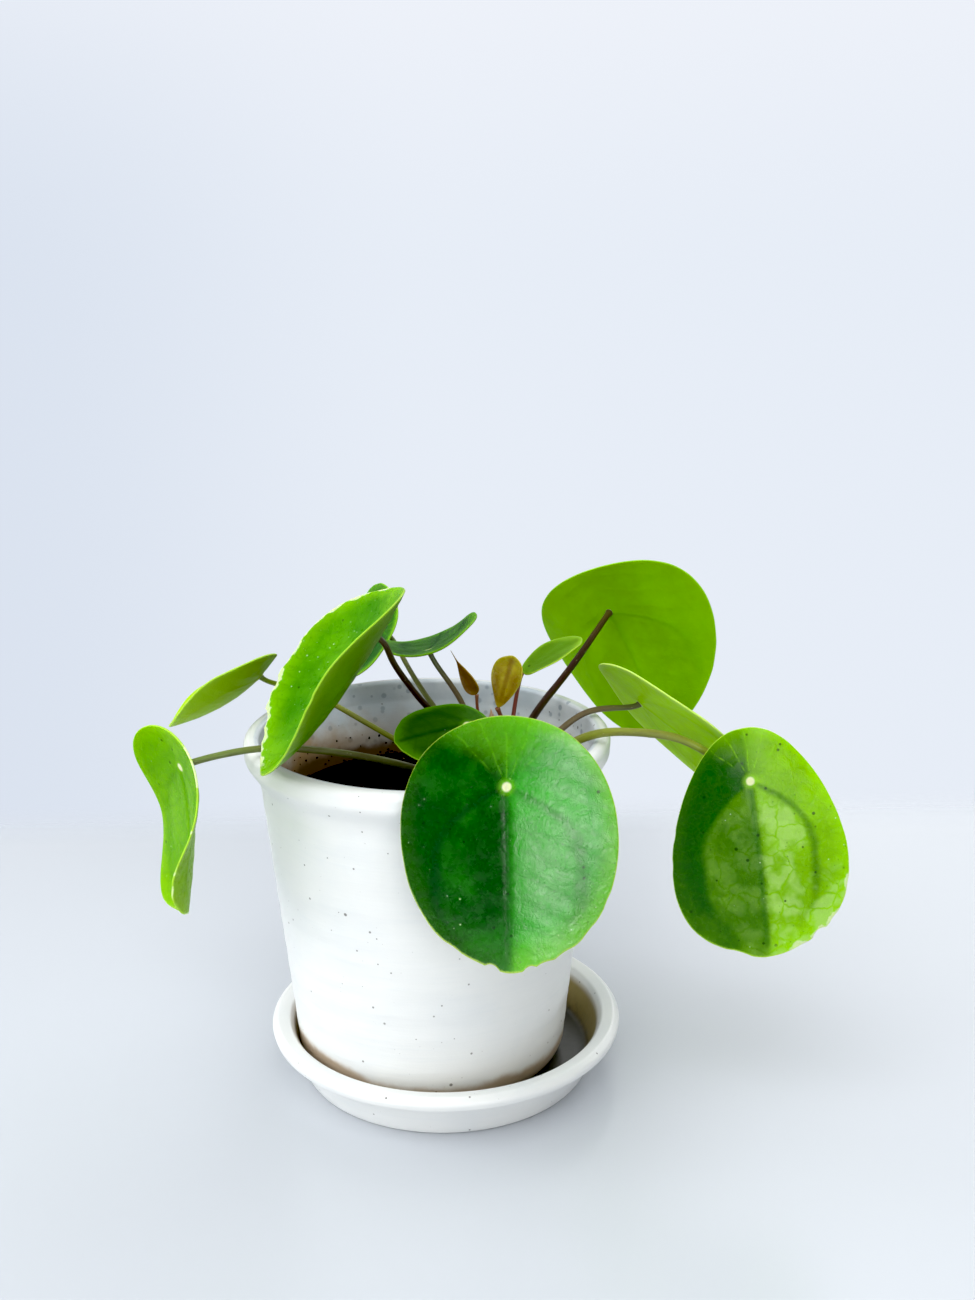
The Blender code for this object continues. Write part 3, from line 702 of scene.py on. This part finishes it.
def outlinePoint(leaf, turn):
    # a point of the flat blade's edge, from the stalk's place; the tip is at turn 0
    half = leaf["width"] / 2
    fromTip = (turn + pi) % (2 * pi) - pi
    third, thirdSide, fourth, fourthSide = leaf.get("lobes", (0, 0, 0, 0))
    edge = 1 + third * cos(3 * turn) + thirdSide * sin(3 * turn)
    edge += fourth * cos(4 * turn) + fourthSide * sin(4 * turn)
    along = (0.5 - leaf["stalkAt"]) * leaf["length"] + leaf["length"] / 2 * cos(turn) * edge
    along += leaf.get("shear", 0) * leaf["length"] / 2 * sin(turn)
    along += leaf["tip"] * exp(-(fromTip / 0.22) ** 2)
    across = half * sin(turn) * (1 + leaf.get("egg", 0) * cos(turn)) * edge
    across += leaf.get("lop", 0) * half * sin(turn) ** 2
    return along, across


def wornAway(leaf, turn):
    # the share of the edge that is missing: a little all round, more in each nick
    half = leaf["width"] / 2
    uneven = noise.noise(Vector((cos(turn) * 5, sin(turn) * 5, leaf["length"])))
    worn = bladeShape["worn"] * (0.5 + uneven) / half
    for place, width, depth in leaf.get("nicks", ()):
        off = abs((turn - radians(place) + pi) % (2 * pi) - pi) / radians(width)
        worn += max(0.0, 1 - off * off) * depth / half
    return max(0.0, worn)


def bentMidrib(leaf, step=0.25):
    # gives, at any length along it, how far the midrib reaches forward and up, and its angle down
    def turnedDown(distance):
        share = distance / leaf["length"]
        return radians(leaf["arch"] * share + leaf.get("curl", 0) * max(share, 0) ** 3)

    table = {0: (0.0, 0.0)}
    for way in (1, -1):
        forward = height = 0.0
        for count in range(1, ceil(leaf["length"] / step) + 12):
            angle = turnedDown(way * (count - 0.5) * step)
            forward += way * step * cos(angle)
            height -= way * step * sin(angle)
            table[way * count] = (forward, height)

    def read(along):
        low = floor(along / step)
        share = along / step - low
        before, after = table[low], table[low + 1]
        forward = before[0] + (after[0] - before[0]) * share
        height = before[1] + (after[1] - before[1]) * share
        return forward, height, turnedDown(along)

    return read


def bladePoint(leaf, midrib, along, across, share, turn, rise=0.0):
    # a point of the bent blade, moved out along the surface by rise
    camber = radians(leaf["camber"][0 if across >= 0 else 1]) / (leaf["width"] / 2)
    side, lift, lean = across, 0.0, 0.0
    if abs(camber) > 1e-6:
        lean = camber * across
        side = sin(lean) / camber
        lift = (cos(lean) - 1) / camber
    lift += leaf["wave"] * share ** 2 * sin(leaf.get("waves", 5) * turn + radians(leaf.get("phase", 0)))
    part = along / leaf["length"]
    twist = radians(leaf.get("twist", 0) * part + leaf.get("tipTwist", 0) * max(part, 0) ** 3)
    side += rise * sin(lean)
    lift += rise * cos(lean)
    side, lift = side * cos(twist) - lift * sin(twist), side * sin(twist) + lift * cos(twist)
    forward, height, angle = midrib(along)
    return Vector((forward + sin(angle) * lift, side, height + cos(angle) * lift))


def lateralVein(leaf, along):
    # how far the two arching side veins lie from the midrib
    reach = (1 - leaf["stalkAt"]) * leaf["length"]
    share = min(1.0, max(0.0, along / reach))
    swing = 1 - (1 - min(1.0, share / 0.43)) ** 2.3
    return leaf["width"] / 2 * 0.64 * swing * (1 - 0.6 * smoothly(share, 0.62, 1.0))


def placement(leaf):
    turn = Euler([radians(angle) for angle in leaf["turn"]], "XYZ").to_matrix()
    return Matrix.Translation(leaf["at"]) @ turn.to_4x4()


def groove(distance, width):
    return exp(-(distance / width) ** 2)


def bladeRelief(leaf, along, across, share, lateral, rung, upper):
    shape = bladeShape
    edgeFade = 1 - smoothly(share, 0.86, 0.97)
    forward = smoothly(along, -1.0, 2.0)
    midrib = groove(across, 1.5 - 0.7 * share) * forward * (1 - 0.6 * share)
    side = groove(lateral, 1.3) * forward
    offRung = (rung % 1.0 - 0.5) * shape["rungSpacing"]
    rungs = groove(offRung, 0.8) * smoothly(share, 0.1, 0.3)
    # the skin swells in cushions between midrib, side veins and rungs
    cushion = (1 - groove(offRung, 2.6)) * (1 - 0.4 * groove(lateral, 3.5)) * (1 - groove(across, 3.0))
    swell = cushion * smoothly(share, 0.1, 0.3)
    swell += 0.5 * noise.noise(Vector((along * 0.11, across * 0.11, leaf["length"])))
    # a crease along the midrib, soft by the stalk and sharp by the tip
    crease = leaf.get("crease", 0.0) * (exp(-abs(across) / (7.0 - 4.5 * share)) - 0.3)
    crease *= smoothly(along, -6.0, 6.0) * (1 - share ** 6)
    if upper:
        sink = shape["midribSink"] * midrib + shape["lateralSink"] * side + shape["rungSink"] * rungs
        return (shape["quilt"] * swell - sink) * edgeFade + crease
    collar = 0.5 * groove(hypot(along, across), leaf["stalk"] * 1.5)
    ribs = shape["ribRise"] * (midrib + 0.55 * side) + 0.07 * rungs
    return (ribs - shape["quilt"] * swell) * edgeFade + collar - crease


def makeBlade(name, leaf, material, node):
    shape = bladeShape
    small = leaf["length"] < shape["smallBelow"]
    rings = shape["smallRings"] if small else shape["rings"]
    steps = shape["smallSteps"] if small else shape["steps"]
    # half the section of a flat disc, spun, then bent to the leaf's own form
    upper = [(ring / rings, 1.0) for ring in range(rings)] + [(0.992, 0.93), (0.998, 0.6)]
    section = upper + [(1.0, 0.0)] + [(share, -level) for share, level in reversed(upper)]
    bm = bmesh.new()
    verts = [bm.verts.new((share, 0.0, level)) for share, level in section]
    for pair in zip(verts, verts[1:]):
        bm.edges.new(pair)
    spinAround(bm, steps, 0.0001)
    flat = bm.verts.layers.float_vector.new("flat")
    veins = bm.verts.layers.float_vector.new("veins")
    half = shape["thickness"] / 2 * (0.75 if small else 1.0)
    midrib = bentMidrib(leaf)
    edges = {}
    for vert in bm.verts:
        share = hypot(vert.co.x, vert.co.y)
        upward = 1.0 if vert.co.z > 0 else -1.0
        turn = atan2(vert.co.y, vert.co.x)
        turn -= 0.0 if small else 0.55 * sin(turn)      # more points by the tip, which is further out
        key = round(turn, 4)
        if key not in edges:
            edges[key] = (*outlinePoint(leaf, turn), 0.0 if small else wornAway(leaf, turn))
        edgeAlong, edgeAcross, worn = edges[key]
        reach = share * (1 - worn * share ** 8)
        along, across = edgeAlong * reach, edgeAcross * reach
        lateral = abs(across) - lateralVein(leaf, along) if along > 0 else hypot(along, across)
        waver = 1.6 * noise.noise(Vector((along * 0.09, across * 0.09, 5.0)))
        rung = (along - 0.42 * abs(across) + waver) / shape["rungSpacing"]
        vert[flat] = (along, across, share)
        vert[veins] = (lateral, rung, upward)
        relief = 0.0
        if not small:
            relief = bladeRelief(leaf, along, across, share, lateral, rung, upward > 0)
        rise = (half * abs(vert.co.z) + relief) * upward
        vert.co = bladePoint(leaf, midrib, along, across, share, turn, rise)
    bmesh.ops.transform(bm, verts=bm.verts[:], matrix=placement(leaf))
    finishMesh(name, bm, material, node)


skinLook = dict(
    # painted glint on the pads between the veins
    padGlints=(0.44, 0.63, 0.22),
    pinhead=(0.62, 0.80, 0.50),
    # chalky wear, and on the right leaf painted glints
    chalkAndGlints=(0.66, 0.74, 0.44),
    dot=(0.72, 0.74, 0.46),      # the pale dot over the stalk
    relief=0.00014,              # metres
    through=(0.7, 1.0, 0.12),    # how far red, green and blue go inside
    depth=0.0016,
)

stipuleLook = dict(
    dark=(0.55, 0.40, 0.24),
    light=(0.74, 0.62, 0.42),
    edge=(0.34, 0.17, 0.07),
)


def line(distance, core, soft):
    # 1 on a vein, falling to 0 at its soft edge
    return fade(abs(distance), core, soft, 1.0, 0.0)


def bladeFields(tree, leaf, seed):
    # what all parts of the skin share: where a point lies on the blade, and clouds that differ by leaf
    on = SimpleNamespace(reach=(1 - leaf["stalkAt"]) * leaf["length"])
    flat = attribute(tree, "flat")
    on.along, on.across, on.share = apart(flat)
    on.lateral, on.rung, side = apart(attribute(tree, "veins"))
    on.upperSide = side.calc("GREATER_THAN", 0.0)
    on.place = shifted(flat, (seed * 61.0, seed * 23.0, seed * 11.0))
    on.mottle = cloudy(on.place, 0.40, 4.0, 0.6)
    on.fine = cloudy(on.place, 2.2, 3.0, 0.6)
    on.sway = cloudy(on.place, 0.12, 1.0)
    behind = larger(on.along * -0.35, 0.0)
    on.toRight = fade((on.across - 1.0) / (behind + 1.0), -3.2, 3.2)
    on.above = on.along * -1.0 - abs(on.across) * 0.55
    on.away = (on.along * on.along + on.across * on.across).calc("SQRT")
    on.forward = fade(on.along, -0.6, 1.2)
    on.inner = fade(on.share, 0.90, 0.985, 1.0, 0.0)
    swirl = cloudy(on.place, 0.16, 2.0, 0.5).also("Color")
    inputs = {0: swirl, 1: (7.0, 7.0, 0.0), 2: on.place}
    on.warped = addNode(tree, "ShaderNodeVectorMath", inputs, operation="MULTIPLY_ADD")
    return on


def bladeTone(on, leaf):
    # from deep to light in clouds, with painted light making one half lighter and painted shade making the
    # outer left darker where the leaf asks for them
    tone = fade(cloudy(on.place, 0.055, 3.0), 0.35, 0.68) + fade(on.mottle, 0.3, 0.75, -0.14, 0.16)
    tone = tone * leaf.get("mottled", 0.6) + leaf.get("tint", 0.0)
    # painted shade: the outer left, beyond the side vein, darker as if turned from the light
    outerLeftShade = fade(on.lateral, -2.0, 2.0) * fade(on.across, 2.0, -2.0)
    outerLeftShade *= fade(on.along, on.reach * 0.4, on.reach * 0.85, 1.0, 0.3)
    # painted light: the right half lighter as if it faces the light
    tone += on.toRight * leaf.get("paintedLightRightHalf", 0.0)
    return tone.calc("SUBTRACT", outerLeftShade * leaf.get("paintedShadeOuterLeft", 0.0), clamp=True)


def bladeVeins(on, leaf):
    # midrib and side veins are soft bands under the skin; cross veins and a net lie between them
    midrib = line(on.across, 0.1, 2.0) * on.forward * leaf.get("midribShown", 1.0)
    wobble = (on.sway - 0.5) * 3.0
    laterals = line(on.lateral + wobble, 0.0, leaf.get("veinWidth", 3.8)) * on.forward
    laterals *= fade(on.along, on.reach * 0.55, on.reach * 0.92, 0.85, 0.0)
    on.bands = larger(midrib, laterals) * on.inner
    phase = (on.rung + on.sway * 0.3).calc("FRACT") - 0.5
    rungs = line(phase * bladeShape["rungSpacing"], 0.0, 0.9) * on.forward
    on.net = toCellEdge(on.warped, 0.17)
    on.fineNet = fade(toCellEdge(on.warped, 0.55), 0.0, 0.12, 1.0, 0.0)
    minor = larger(rungs * 0.8, fade(on.net, 0.0, 0.08, 0.7, 0.0))
    on.minor = minor * on.inner * fade(on.share, 0.08, 0.25)


def paintedPadGlints(on):
    # painted glints: paler pads between the veins, as if they caught the light, more to the right and
    # towards the tip
    lowRight = fade(on.across, 7.0, 12.0) * fade(on.along, on.reach * 0.5, on.reach * 0.62)
    puff = fade(toCellEdge(on.warped, 0.12), 0.0, 0.09) * larger(fade(on.lateral, -0.5, -3.0), lowRight)
    puff *= fade(on.across + on.mottle * 6.0, 3.0, 7.0, 0.2, 1.0)
    return puff * fade(cloudy(on.place, 0.11, 2.0), 0.38, 0.56) * fade(on.along, 4.0, 12.0)


def fanVeins(on):
    # fine pale veins that spread behind the stalk's place
    fan = on.across.calc("ARCTAN2", on.along * -1.0) + (on.sway - 0.5) * 0.12
    spoke = ((fan * 2.6 + 0.5).calc("FRACT") - 0.5) / 2.6 * on.away
    return line(spoke, 0.0, 0.40) * fade(on.above, 1.5, 4.0) * fade(on.mottle, 0.35, 0.6) * on.inner


def topColour(on, leaf, look):
    # paler towards the margin: partly the edge's own colour, partly a painted glow of light through the
    # thin edge; on some leaves less of it on the shaded left half
    paleMarginAndGlow = fade(on.share, 0.76, 1.0, 0.0, 0.6)
    paleMarginAndGlow *= fade(on.toRight, 0.0, 1.0, leaf.get("paleMarginAndGlowLeft", 1.0), 1.0)
    shown = on.bands * fade(on.toRight, 0.0, 1.0, 1.0, leaf.get("veinsRight", 1.0))
    specks = dots(on.place, 0.22, 0.10, 0.17, look["specks"] * 0.5) * on.inner
    dust = dots(shifted(on.place, (2.0, 6.0, 1.0)), 0.62, 0.09, 0.21, 0.6)
    pins = dots(shifted(on.place, (9.0, 4.0, 2.0)), 0.5, 0.07, 0.16, look["pins"] * 0.8)
    pins *= fade(on.along, -12.0, 18.0, 0.25, 1.0)
    colour = layered(
        look["dark"],
        (on.tone, look["light"]),
        (paleMarginAndGlow, look["edge"]),
        (fade(on.above, 0.5, 13.0, 0.0, leaf.get("paleTop", 0.3)), look["edge"]),
        (shown * leaf.get("veined", 0.7), look["vein"]),
        (on.minor * (0.28 * leaf.get("netted", 1.0)), look["vein"]),
        (on.fineNet * 0.03, look["light"]))
    # painted glints on the pads between the veins
    if leaf.get("padGlints"):
        colour = blend(paintedPadGlints(on) * leaf["padGlints"], colour, skinLook["padGlints"])
    return layered(
        colour,
        (fanVeins(on) * 0.4, look["edge"]),
        (specks * 0.8, tuple(part * 0.35 for part in look["vein"])),
        (dust * 0.45, look["vein"]),
        (pins * 0.75, skinLook["pinhead"]))


def underColour(on, leaf, look):
    # plainer, with soft bands where the veins are
    return layered(
        tuple(part * 0.78 for part in look["under"]),
        (on.tone, look["under"]),
        (on.bands * 0.22, look["vein"]),
        (on.minor * 0.05, look["vein"]),
        # paler towards the margin underneath; on the right middle leaf this also paints the sheen on its
        # curled margin
        (fade(on.share, 0.86, 1.0, 0.0, leaf.get("paleUnderAndSheen", 0.25)), look["paleRimAndHighlight"]))


def chalkyWearAndGlints(on, leaf):
    # dry worn places along one side of the rim; on the right leaf the pale patches by its notch are painted
    # glints
    blotch = on.mottle * 0.06 + cloudy(on.place, 0.16, 2.0) * 0.17
    start = on.reach * leaf.get("chalkAndGlintsFrom", -2.0)
    worn = fade(on.share + blotch, 1.0 + leaf["chalkAndGlints"], 1.012 + leaf["chalkAndGlints"])
    worn *= fade(on.across * leaf["chalkAndGlintsSide"], 4.0, 10.0)
    return worn * fade(on.along, start - 0.1 * on.reach, start)


def leafFinish(name, leaf, seed):
    material, tree, shader = newFinish("leaf_" + name + "_skin")
    look = leafLooks[leaf["look"]]
    on = bladeFields(tree, leaf, seed)
    on.tone = bladeTone(on, leaf)
    bladeVeins(on, leaf)
    # a thin pale rim along the margin: partly the edge's own paler colour, partly a painted highlight where
    # the edge catches the light
    paleRimAndHighlight = fade(on.share + (on.fine - 0.5) * 0.016, 0.982, 0.998)
    colour = layered(
        underColour(on, leaf, look),
        (on.upperSide, topColour(on, leaf, look)),
        (paleRimAndHighlight * leaf.get("paleRimAndHighlightShown", 0.85), look["paleRimAndHighlight"]))
    # chalky wear along the rim, and painted glints by the right leaf's notch
    if leaf.get("chalkAndGlints"):
        colour = blend(chalkyWearAndGlints(on, leaf) * 0.75, colour, skinLook["chalkAndGlints"])
    if leaf["length"] >= bladeShape["smallBelow"]:
        distance = on.away + on.mottle * 0.5
        colour = layered(
            colour,
            (fade(distance, 1.6, 3.8, 1.0, 0.0) * 0.5, look["edge"]),
            (fade(distance, 1.3, 2.05, 1.0, 0.0) * 0.92, skinLook["dot"]))
    shine = fade(on.mottle, 0.25, 0.75, look["rough"] - 0.05, look["rough"] + 0.07)
    shine += on.upperSide * -0.06 + on.bands * 0.02
    height = on.fine * 0.35 + fade(on.net, 0.0, 0.3) * 0.45 - on.fineNet * 0.12
    if leaf.get("wrinkled"):
        height += cloudy(on.warped, 1.1, 2.0, 0.6) * (on.toRight * leaf["wrinkled"])
    height -= dots(shifted(on.place, (3.0, 8.0, 5.0)), 0.75, 0.10, 0.22, 0.55) * 0.5
    dress(shader, colour, shine, height, skinLook["relief"], 0.8,
          Subsurface_Weight=0.5, Subsurface_Radius=skinLook["through"], Subsurface_Scale=skinLook["depth"],
          IOR=look.get("ior", 1.45), Specular_IOR_Level=look["gloss"])
    return material


def stipuleFinish():
    material, tree, shader = newFinish("stipule_papery")
    look = stipuleLook
    place = attribute(tree, "flat")
    share = apart(place)[2]
    fibre = cloudy(stretched(place, (0.35, 3.0, 1.0)), 1.0, 4.0)
    colour = layered(
        look["dark"],
        (fade(fibre, 0.3, 0.7), look["light"]),
        (fade(share, 0.7, 1.0, 0.0, 0.6), look["edge"]))
    dress(shader, colour, fade(fibre, 0.3, 0.7, 0.55, 0.75), fibre, 0.0002,
          Subsurface_Weight=0.3, Subsurface_Radius=(1.0, 0.7, 0.4), Subsurface_Scale=0.001)
    return material


# Stalks

stalkShape = dict(
    sides=16,
    smoothness=8,
    start=(5.3, 7.8),        # first steps out from the stem's axis
    crown=(121.8, 124.5),    # first heights over the stem's top
    lead=4.5,                # how far below a blade the stalk turns up to it
    stop=0.7,                # how far below the blade's middle the steering ends
    sinkInStem=1.2,
    sinkInBlade=0.55,
    taper=(1.12, 0.24),      # thickness at the foot and how much goes, in parts of its own
    flare=0.45,              # how much it widens where it leaves the stem
    endFlare=0.35,           # and where it meets the blade
    knobbly=0.035,
    fleck=(0.42, 0.40, 0.22),
)


def stalkWay(leaf):
    # steering points from the stem to the blade, as in the frame, carried on into both
    shape = stalkShape
    if "root" in leaf:
        angle = radians(leaf["root"][0])
        outward = Vector((cos(angle), sin(angle), 0.0))
        foot = Vector((*stemShape["axis"], leaf["root"][1]))
        way = [foot + outward * step for step in shape["start"]]
    else:
        way = [Vector((*leaf["crown"], height)) for height in shape["crown"]]
    way += [Vector(point) for point in leaf["way"]]
    matrix = placement(leaf)
    place = Vector(leaf["at"])
    if leaf["length"] > bladeShape["smallBelow"]:
        upward = matrix.to_3x3() @ Vector((0, 0, 1))
        way += [place - upward * leaf.get("lead", shape["lead"]), place - upward * shape["stop"]]
    else:
        forward = matrix.to_3x3() @ Vector((1, 0, 0))
        way.append(place - forward * (leaf["stalkAt"] * leaf["length"] + shape["stop"]))
    return way


def smoothPath(way):
    # a soft curve through the steering, read off as plain points
    curve = bpy.data.curves.new("path", "CURVE")
    curve.dimensions = "3D"
    curve.resolution_u = stalkShape["smoothness"]
    spline = curve.splines.new("NURBS")
    spline.points.add(len(way) - 1)
    for point, target in zip(spline.points, way):
        point.co = (*target, 1.0)
    spline.order_u = 4
    spline.use_endpoint_u = True
    guide = putInScene("path", curve)
    mesh = bpy.data.meshes.new_from_object(guide.evaluated_get(bpy.context.evaluated_depsgraph_get()))
    points = [vert.co.copy() for vert in mesh.vertices]
    bpy.data.objects.remove(guide)
    bpy.data.curves.remove(curve)
    bpy.data.meshes.remove(mesh)
    return points


def makeStalk(name, leaf):
    shape = stalkShape
    points = smoothPath(stalkWay(leaf))
    first = (points[0] - points[1]).normalized()
    last = (points[-1] - points[-2]).normalized()
    points = [points[0] + first * shape["sinkInStem"]] + points + [points[-1] + last * shape["sinkInBlade"]]
    bm = bmesh.new()
    skin = bm.verts.layers.float_vector.new("skin")
    ring = bmesh.ops.create_circle(bm, segments=shape["sides"], radius=1.0)["verts"]
    edges = bm.edges[:]
    before = Matrix.Identity(4)
    facing = Matrix.Identity(3)
    direction = Vector((0, 0, 1))
    travelled = 0.0
    total = sum((b - a).length for a, b in zip(points, points[1:]))
    thick, thinning = shape["taper"]
    for index, point in enumerate(points):
        ahead = points[min(index + 1, len(points) - 1)] - points[max(index - 1, 0)]
        ahead.normalize()
        facing = direction.rotation_difference(ahead).to_matrix() @ facing
        direction = ahead
        if index:
            travelled += (point - points[index - 1]).length
        radius = leaf["stalk"] * (thick - thinning * travelled / total)
        left = total - travelled
        radius *= 1 + shape["flare"] * groove(travelled, 2.2) + shape["endFlare"] * groove(left, 1.4)
        radius *= 1 + shape["knobbly"] * noise.noise(Vector((travelled * 0.22, leaf["length"], 1.0)))
        size = Matrix.Diagonal((radius, radius * 0.95, radius, 1.0))
        now = Matrix.Translation(point) @ facing.to_4x4() @ size
        if index:
            made = bmesh.ops.extrude_edge_only(bm, edges=edges)["geom"]
            ring = [item for item in made if isinstance(item, bmesh.types.BMVert)]
            edges = [item for item in made if isinstance(item, bmesh.types.BMEdge)]
        bmesh.ops.transform(bm, verts=ring, matrix=now @ before.inverted())
        inverse = now.inverted()
        for vert in ring:
            local = inverse @ vert.co
            vert[skin] = (travelled, local.x, local.y)
        before = now
    bmesh.ops.holes_fill(bm, edges=bm.edges[:], sides=0)
    bmesh.ops.recalc_face_normals(bm, faces=bm.faces[:])
    finishMesh("petiole_" + name, bm, stalkFinish(name, leaf, total), "stalk_" + name)


def stalkFinish(name, leaf, total):
    material, tree, shader = newFinish("stalk_" + name + "_skin")
    look = stalkLooks[leaf["skin"]]
    place = attribute(tree, "skin")
    share = apart(place)[0] / total
    streaks = cloudy(stretched(place, (0.12, 2.4, 2.4)), 1.0, 4.0)
    patch = cloudy(stretched(place, (0.10, 0.5, 0.5)), 1.0, 3.0)
    flecks = dots(stretched(place, (0.6, 1.6, 1.6)), 0.9, 0.1, 0.28, 0.22)
    colour = layered(
        look["foot"],
        (fade(share, 0.05, 0.45), look["middle"]),
        (fade(share, 0.6, 1.0), look["tip"]),
        (fade(streaks, 0.35, 0.7, 0.0, 0.35), look["tip"]),
        (fade(patch, 0.45, 0.75, 0.0, 0.5), look["foot"]),
        (flecks * 0.35, stalkShape["fleck"]))
    dress(shader, colour, fade(patch, 0.3, 0.7, 0.34, 0.5), streaks, 0.00018,
          Subsurface_Weight=0.15, Subsurface_Radius=(1.0, 0.8, 0.3), Subsurface_Scale=0.001)
    return material


def makePlant():
    for seed, (name, leaf) in enumerate(leaves.items()):
        makeBlade("blade_" + name, leaf, leafFinish(name, leaf, seed + 1.0), "leaf_" + name)
        makeStalk(name, leaf)
    makeBlade("stipule_dry", stipuleShape, stipuleFinish(), "stipule")


# Floor, light and camera. Sizes here are metres.

stageLook = dict(
    floor=(0.535, 0.56, 0.60),
    floorShine=0.27,
    air=(0.80, 0.85, 0.93),
    airAbove=(0.875, 0.90, 0.96),
    airLeft=(0.71, 0.77, 0.87),
    airBehind=0.35,          # light from the bright wall behind the pot
    airInFront=0.04,         # light from the dim room behind the camera
    farEdge=0.235,           # behind the pot, where the table ends
    halfFloor=1.5,
    aim=(0.0, 0.0, 0.1),     # where the lamps point
    blackLevel=0.010,
)

# only lamps marked mirrored show in the gloss of the leaves
lamps = {
    "window": dict(place=(0.45, -1.33, 0.42), size=(0.70, 0.50), energy=6.5, colour=(1.0, 1.0, 0.98),
                   mirrored=True),
    "fill": dict(place=(-0.42, -0.88, 1.35), size=(1.6, 1.6), energy=20.0, colour=(0.97, 0.99, 1.0)),
    "sky": dict(place=(-0.1, -0.05, 1.5), size=(2.0, 2.0), energy=15.5, colour=(0.97, 0.99, 1.0)),
    "back": dict(place=(0.75, 0.85, 0.8), size=(1.4, 1.2), energy=8.0, colour=(0.97, 0.99, 1.0),
                 mirrored=True),
    "left": dict(place=(-1.25, -0.25, 0.55), size=(1.2, 1.0), energy=8.5, colour=(0.98, 1.0, 1.0)),
    "side": dict(place=(-1.1, 0.45, 0.35), size=(1.0, 0.6), energy=6.0, colour=(0.98, 1.0, 1.0)),
    "low": dict(place=(-0.9, -1.1, 0.08), size=(1.0, 0.3), energy=3.5, colour=(0.98, 1.0, 1.0)),
    "right": dict(place=(1.3, 0.1, 0.8), size=(1.2, 1.2), energy=1.5, colour=(0.98, 0.99, 1.0)),
}

# the photo's view: down, roll and turn are the camera's angles
cameraLook = dict(
    place=(-0.0053, -0.5172, 0.306), down=15.9, roll=0.24, turn=-2.43, lens=42.508, sensor=36.0)


def makeFloor():
    look = stageLook
    bm = bmesh.new()
    bmesh.ops.create_grid(bm, x_segments=1, y_segments=1, size=look["halfFloor"])
    bmesh.ops.translate(bm, verts=bm.verts[:], vec=(0.0, -look["halfFloor"] + look["farEdge"] + 0.05, 0.0))
    mesh = bpy.data.meshes.new("floor")
    bm.to_mesh(mesh)
    bm.free()
    material, tree, shader = newFinish("table_pale")
    place = addNode(tree, "ShaderNodeTexCoord", output="Object")
    solid = fade(apart(place)[1], look["farEdge"] - 0.03, look["farEdge"] + 0.03, 1.0, 0.0)
    colour = blend(cloudy(place, 3.0, 3.0), look["floor"], tuple(part * 0.985 for part in look["floor"]))
    tree.links.new(solid.socket, shader.inputs["Alpha"])
    tree.links.new(colour.socket, shader.inputs["Base Color"])
    shader.inputs["Roughness"].default_value = look["floorShine"]
    mesh.materials.append(material)
    putInScene("floor", mesh)


def makeLight(name, look):
    light = bpy.data.lights.new(name, "AREA")
    light.shape = "RECTANGLE"
    light.size, light.size_y = look["size"]
    light.energy = look["energy"]
    light.color = look["colour"]
    lamp = putInScene(name, light)
    lamp.location = look["place"]
    towards = Vector(stageLook["aim"]) - Vector(look["place"])
    lamp.rotation_euler = towards.to_track_quat("-Z", "Y").to_euler()
    lamp.visible_glossy = look.get("mirrored", False)


def makeStage():
    look = stageLook
    scene = bpy.context.scene
    scene.world = bpy.data.worlds.new("air")
    scene.world.use_nodes = True
    tree = scene.world.node_tree
    background = tree.nodes["Background"]
    x, y, z = apart(addNode(tree, "ShaderNodeTexCoord", output="Generated"))
    air = blend(fade(z, -0.05, 0.22), look["air"], look["airAbove"])
    air = blend(fade(x, 0.02, -0.28) * fade(z, 0.25, -0.05), air, look["airLeft"])
    lit = fade(y, 0.0, 0.6, look["airInFront"], look["airBehind"])
    seen = addNode(tree, "ShaderNodeLightPath", output="Is Camera Ray")
    tree.links.new(air.socket, background.inputs[0])
    tree.links.new(larger(lit, seen).socket, background.inputs[1])
    makeFloor()
    for name, lamp in lamps.items():
        makeLight(name, lamp)
    scene.view_settings.view_transform = "Standard"
    scene.view_settings.use_curve_mapping = True
    scene.view_settings.curve_mapping.black_level = (look["blackLevel"],) * 3
    print("made the stage")


def makeCamera():
    look = cameraLook
    camera = bpy.data.cameras.new("camera")
    camera.sensor_width = look["sensor"]
    camera.lens = look["lens"]
    camera.clip_start = 0.01
    eye = putInScene("camera", camera)
    eye.location = look["place"]
    eye.rotation_euler = (radians(90 - look["down"]), radians(look["roll"]), radians(look["turn"]))
    bpy.context.scene.camera = eye
    print("made the camera")


makeSaucer()
makePot()
makeSoil()
makeStem()
makePlant()
makeStage()
makeCamera()
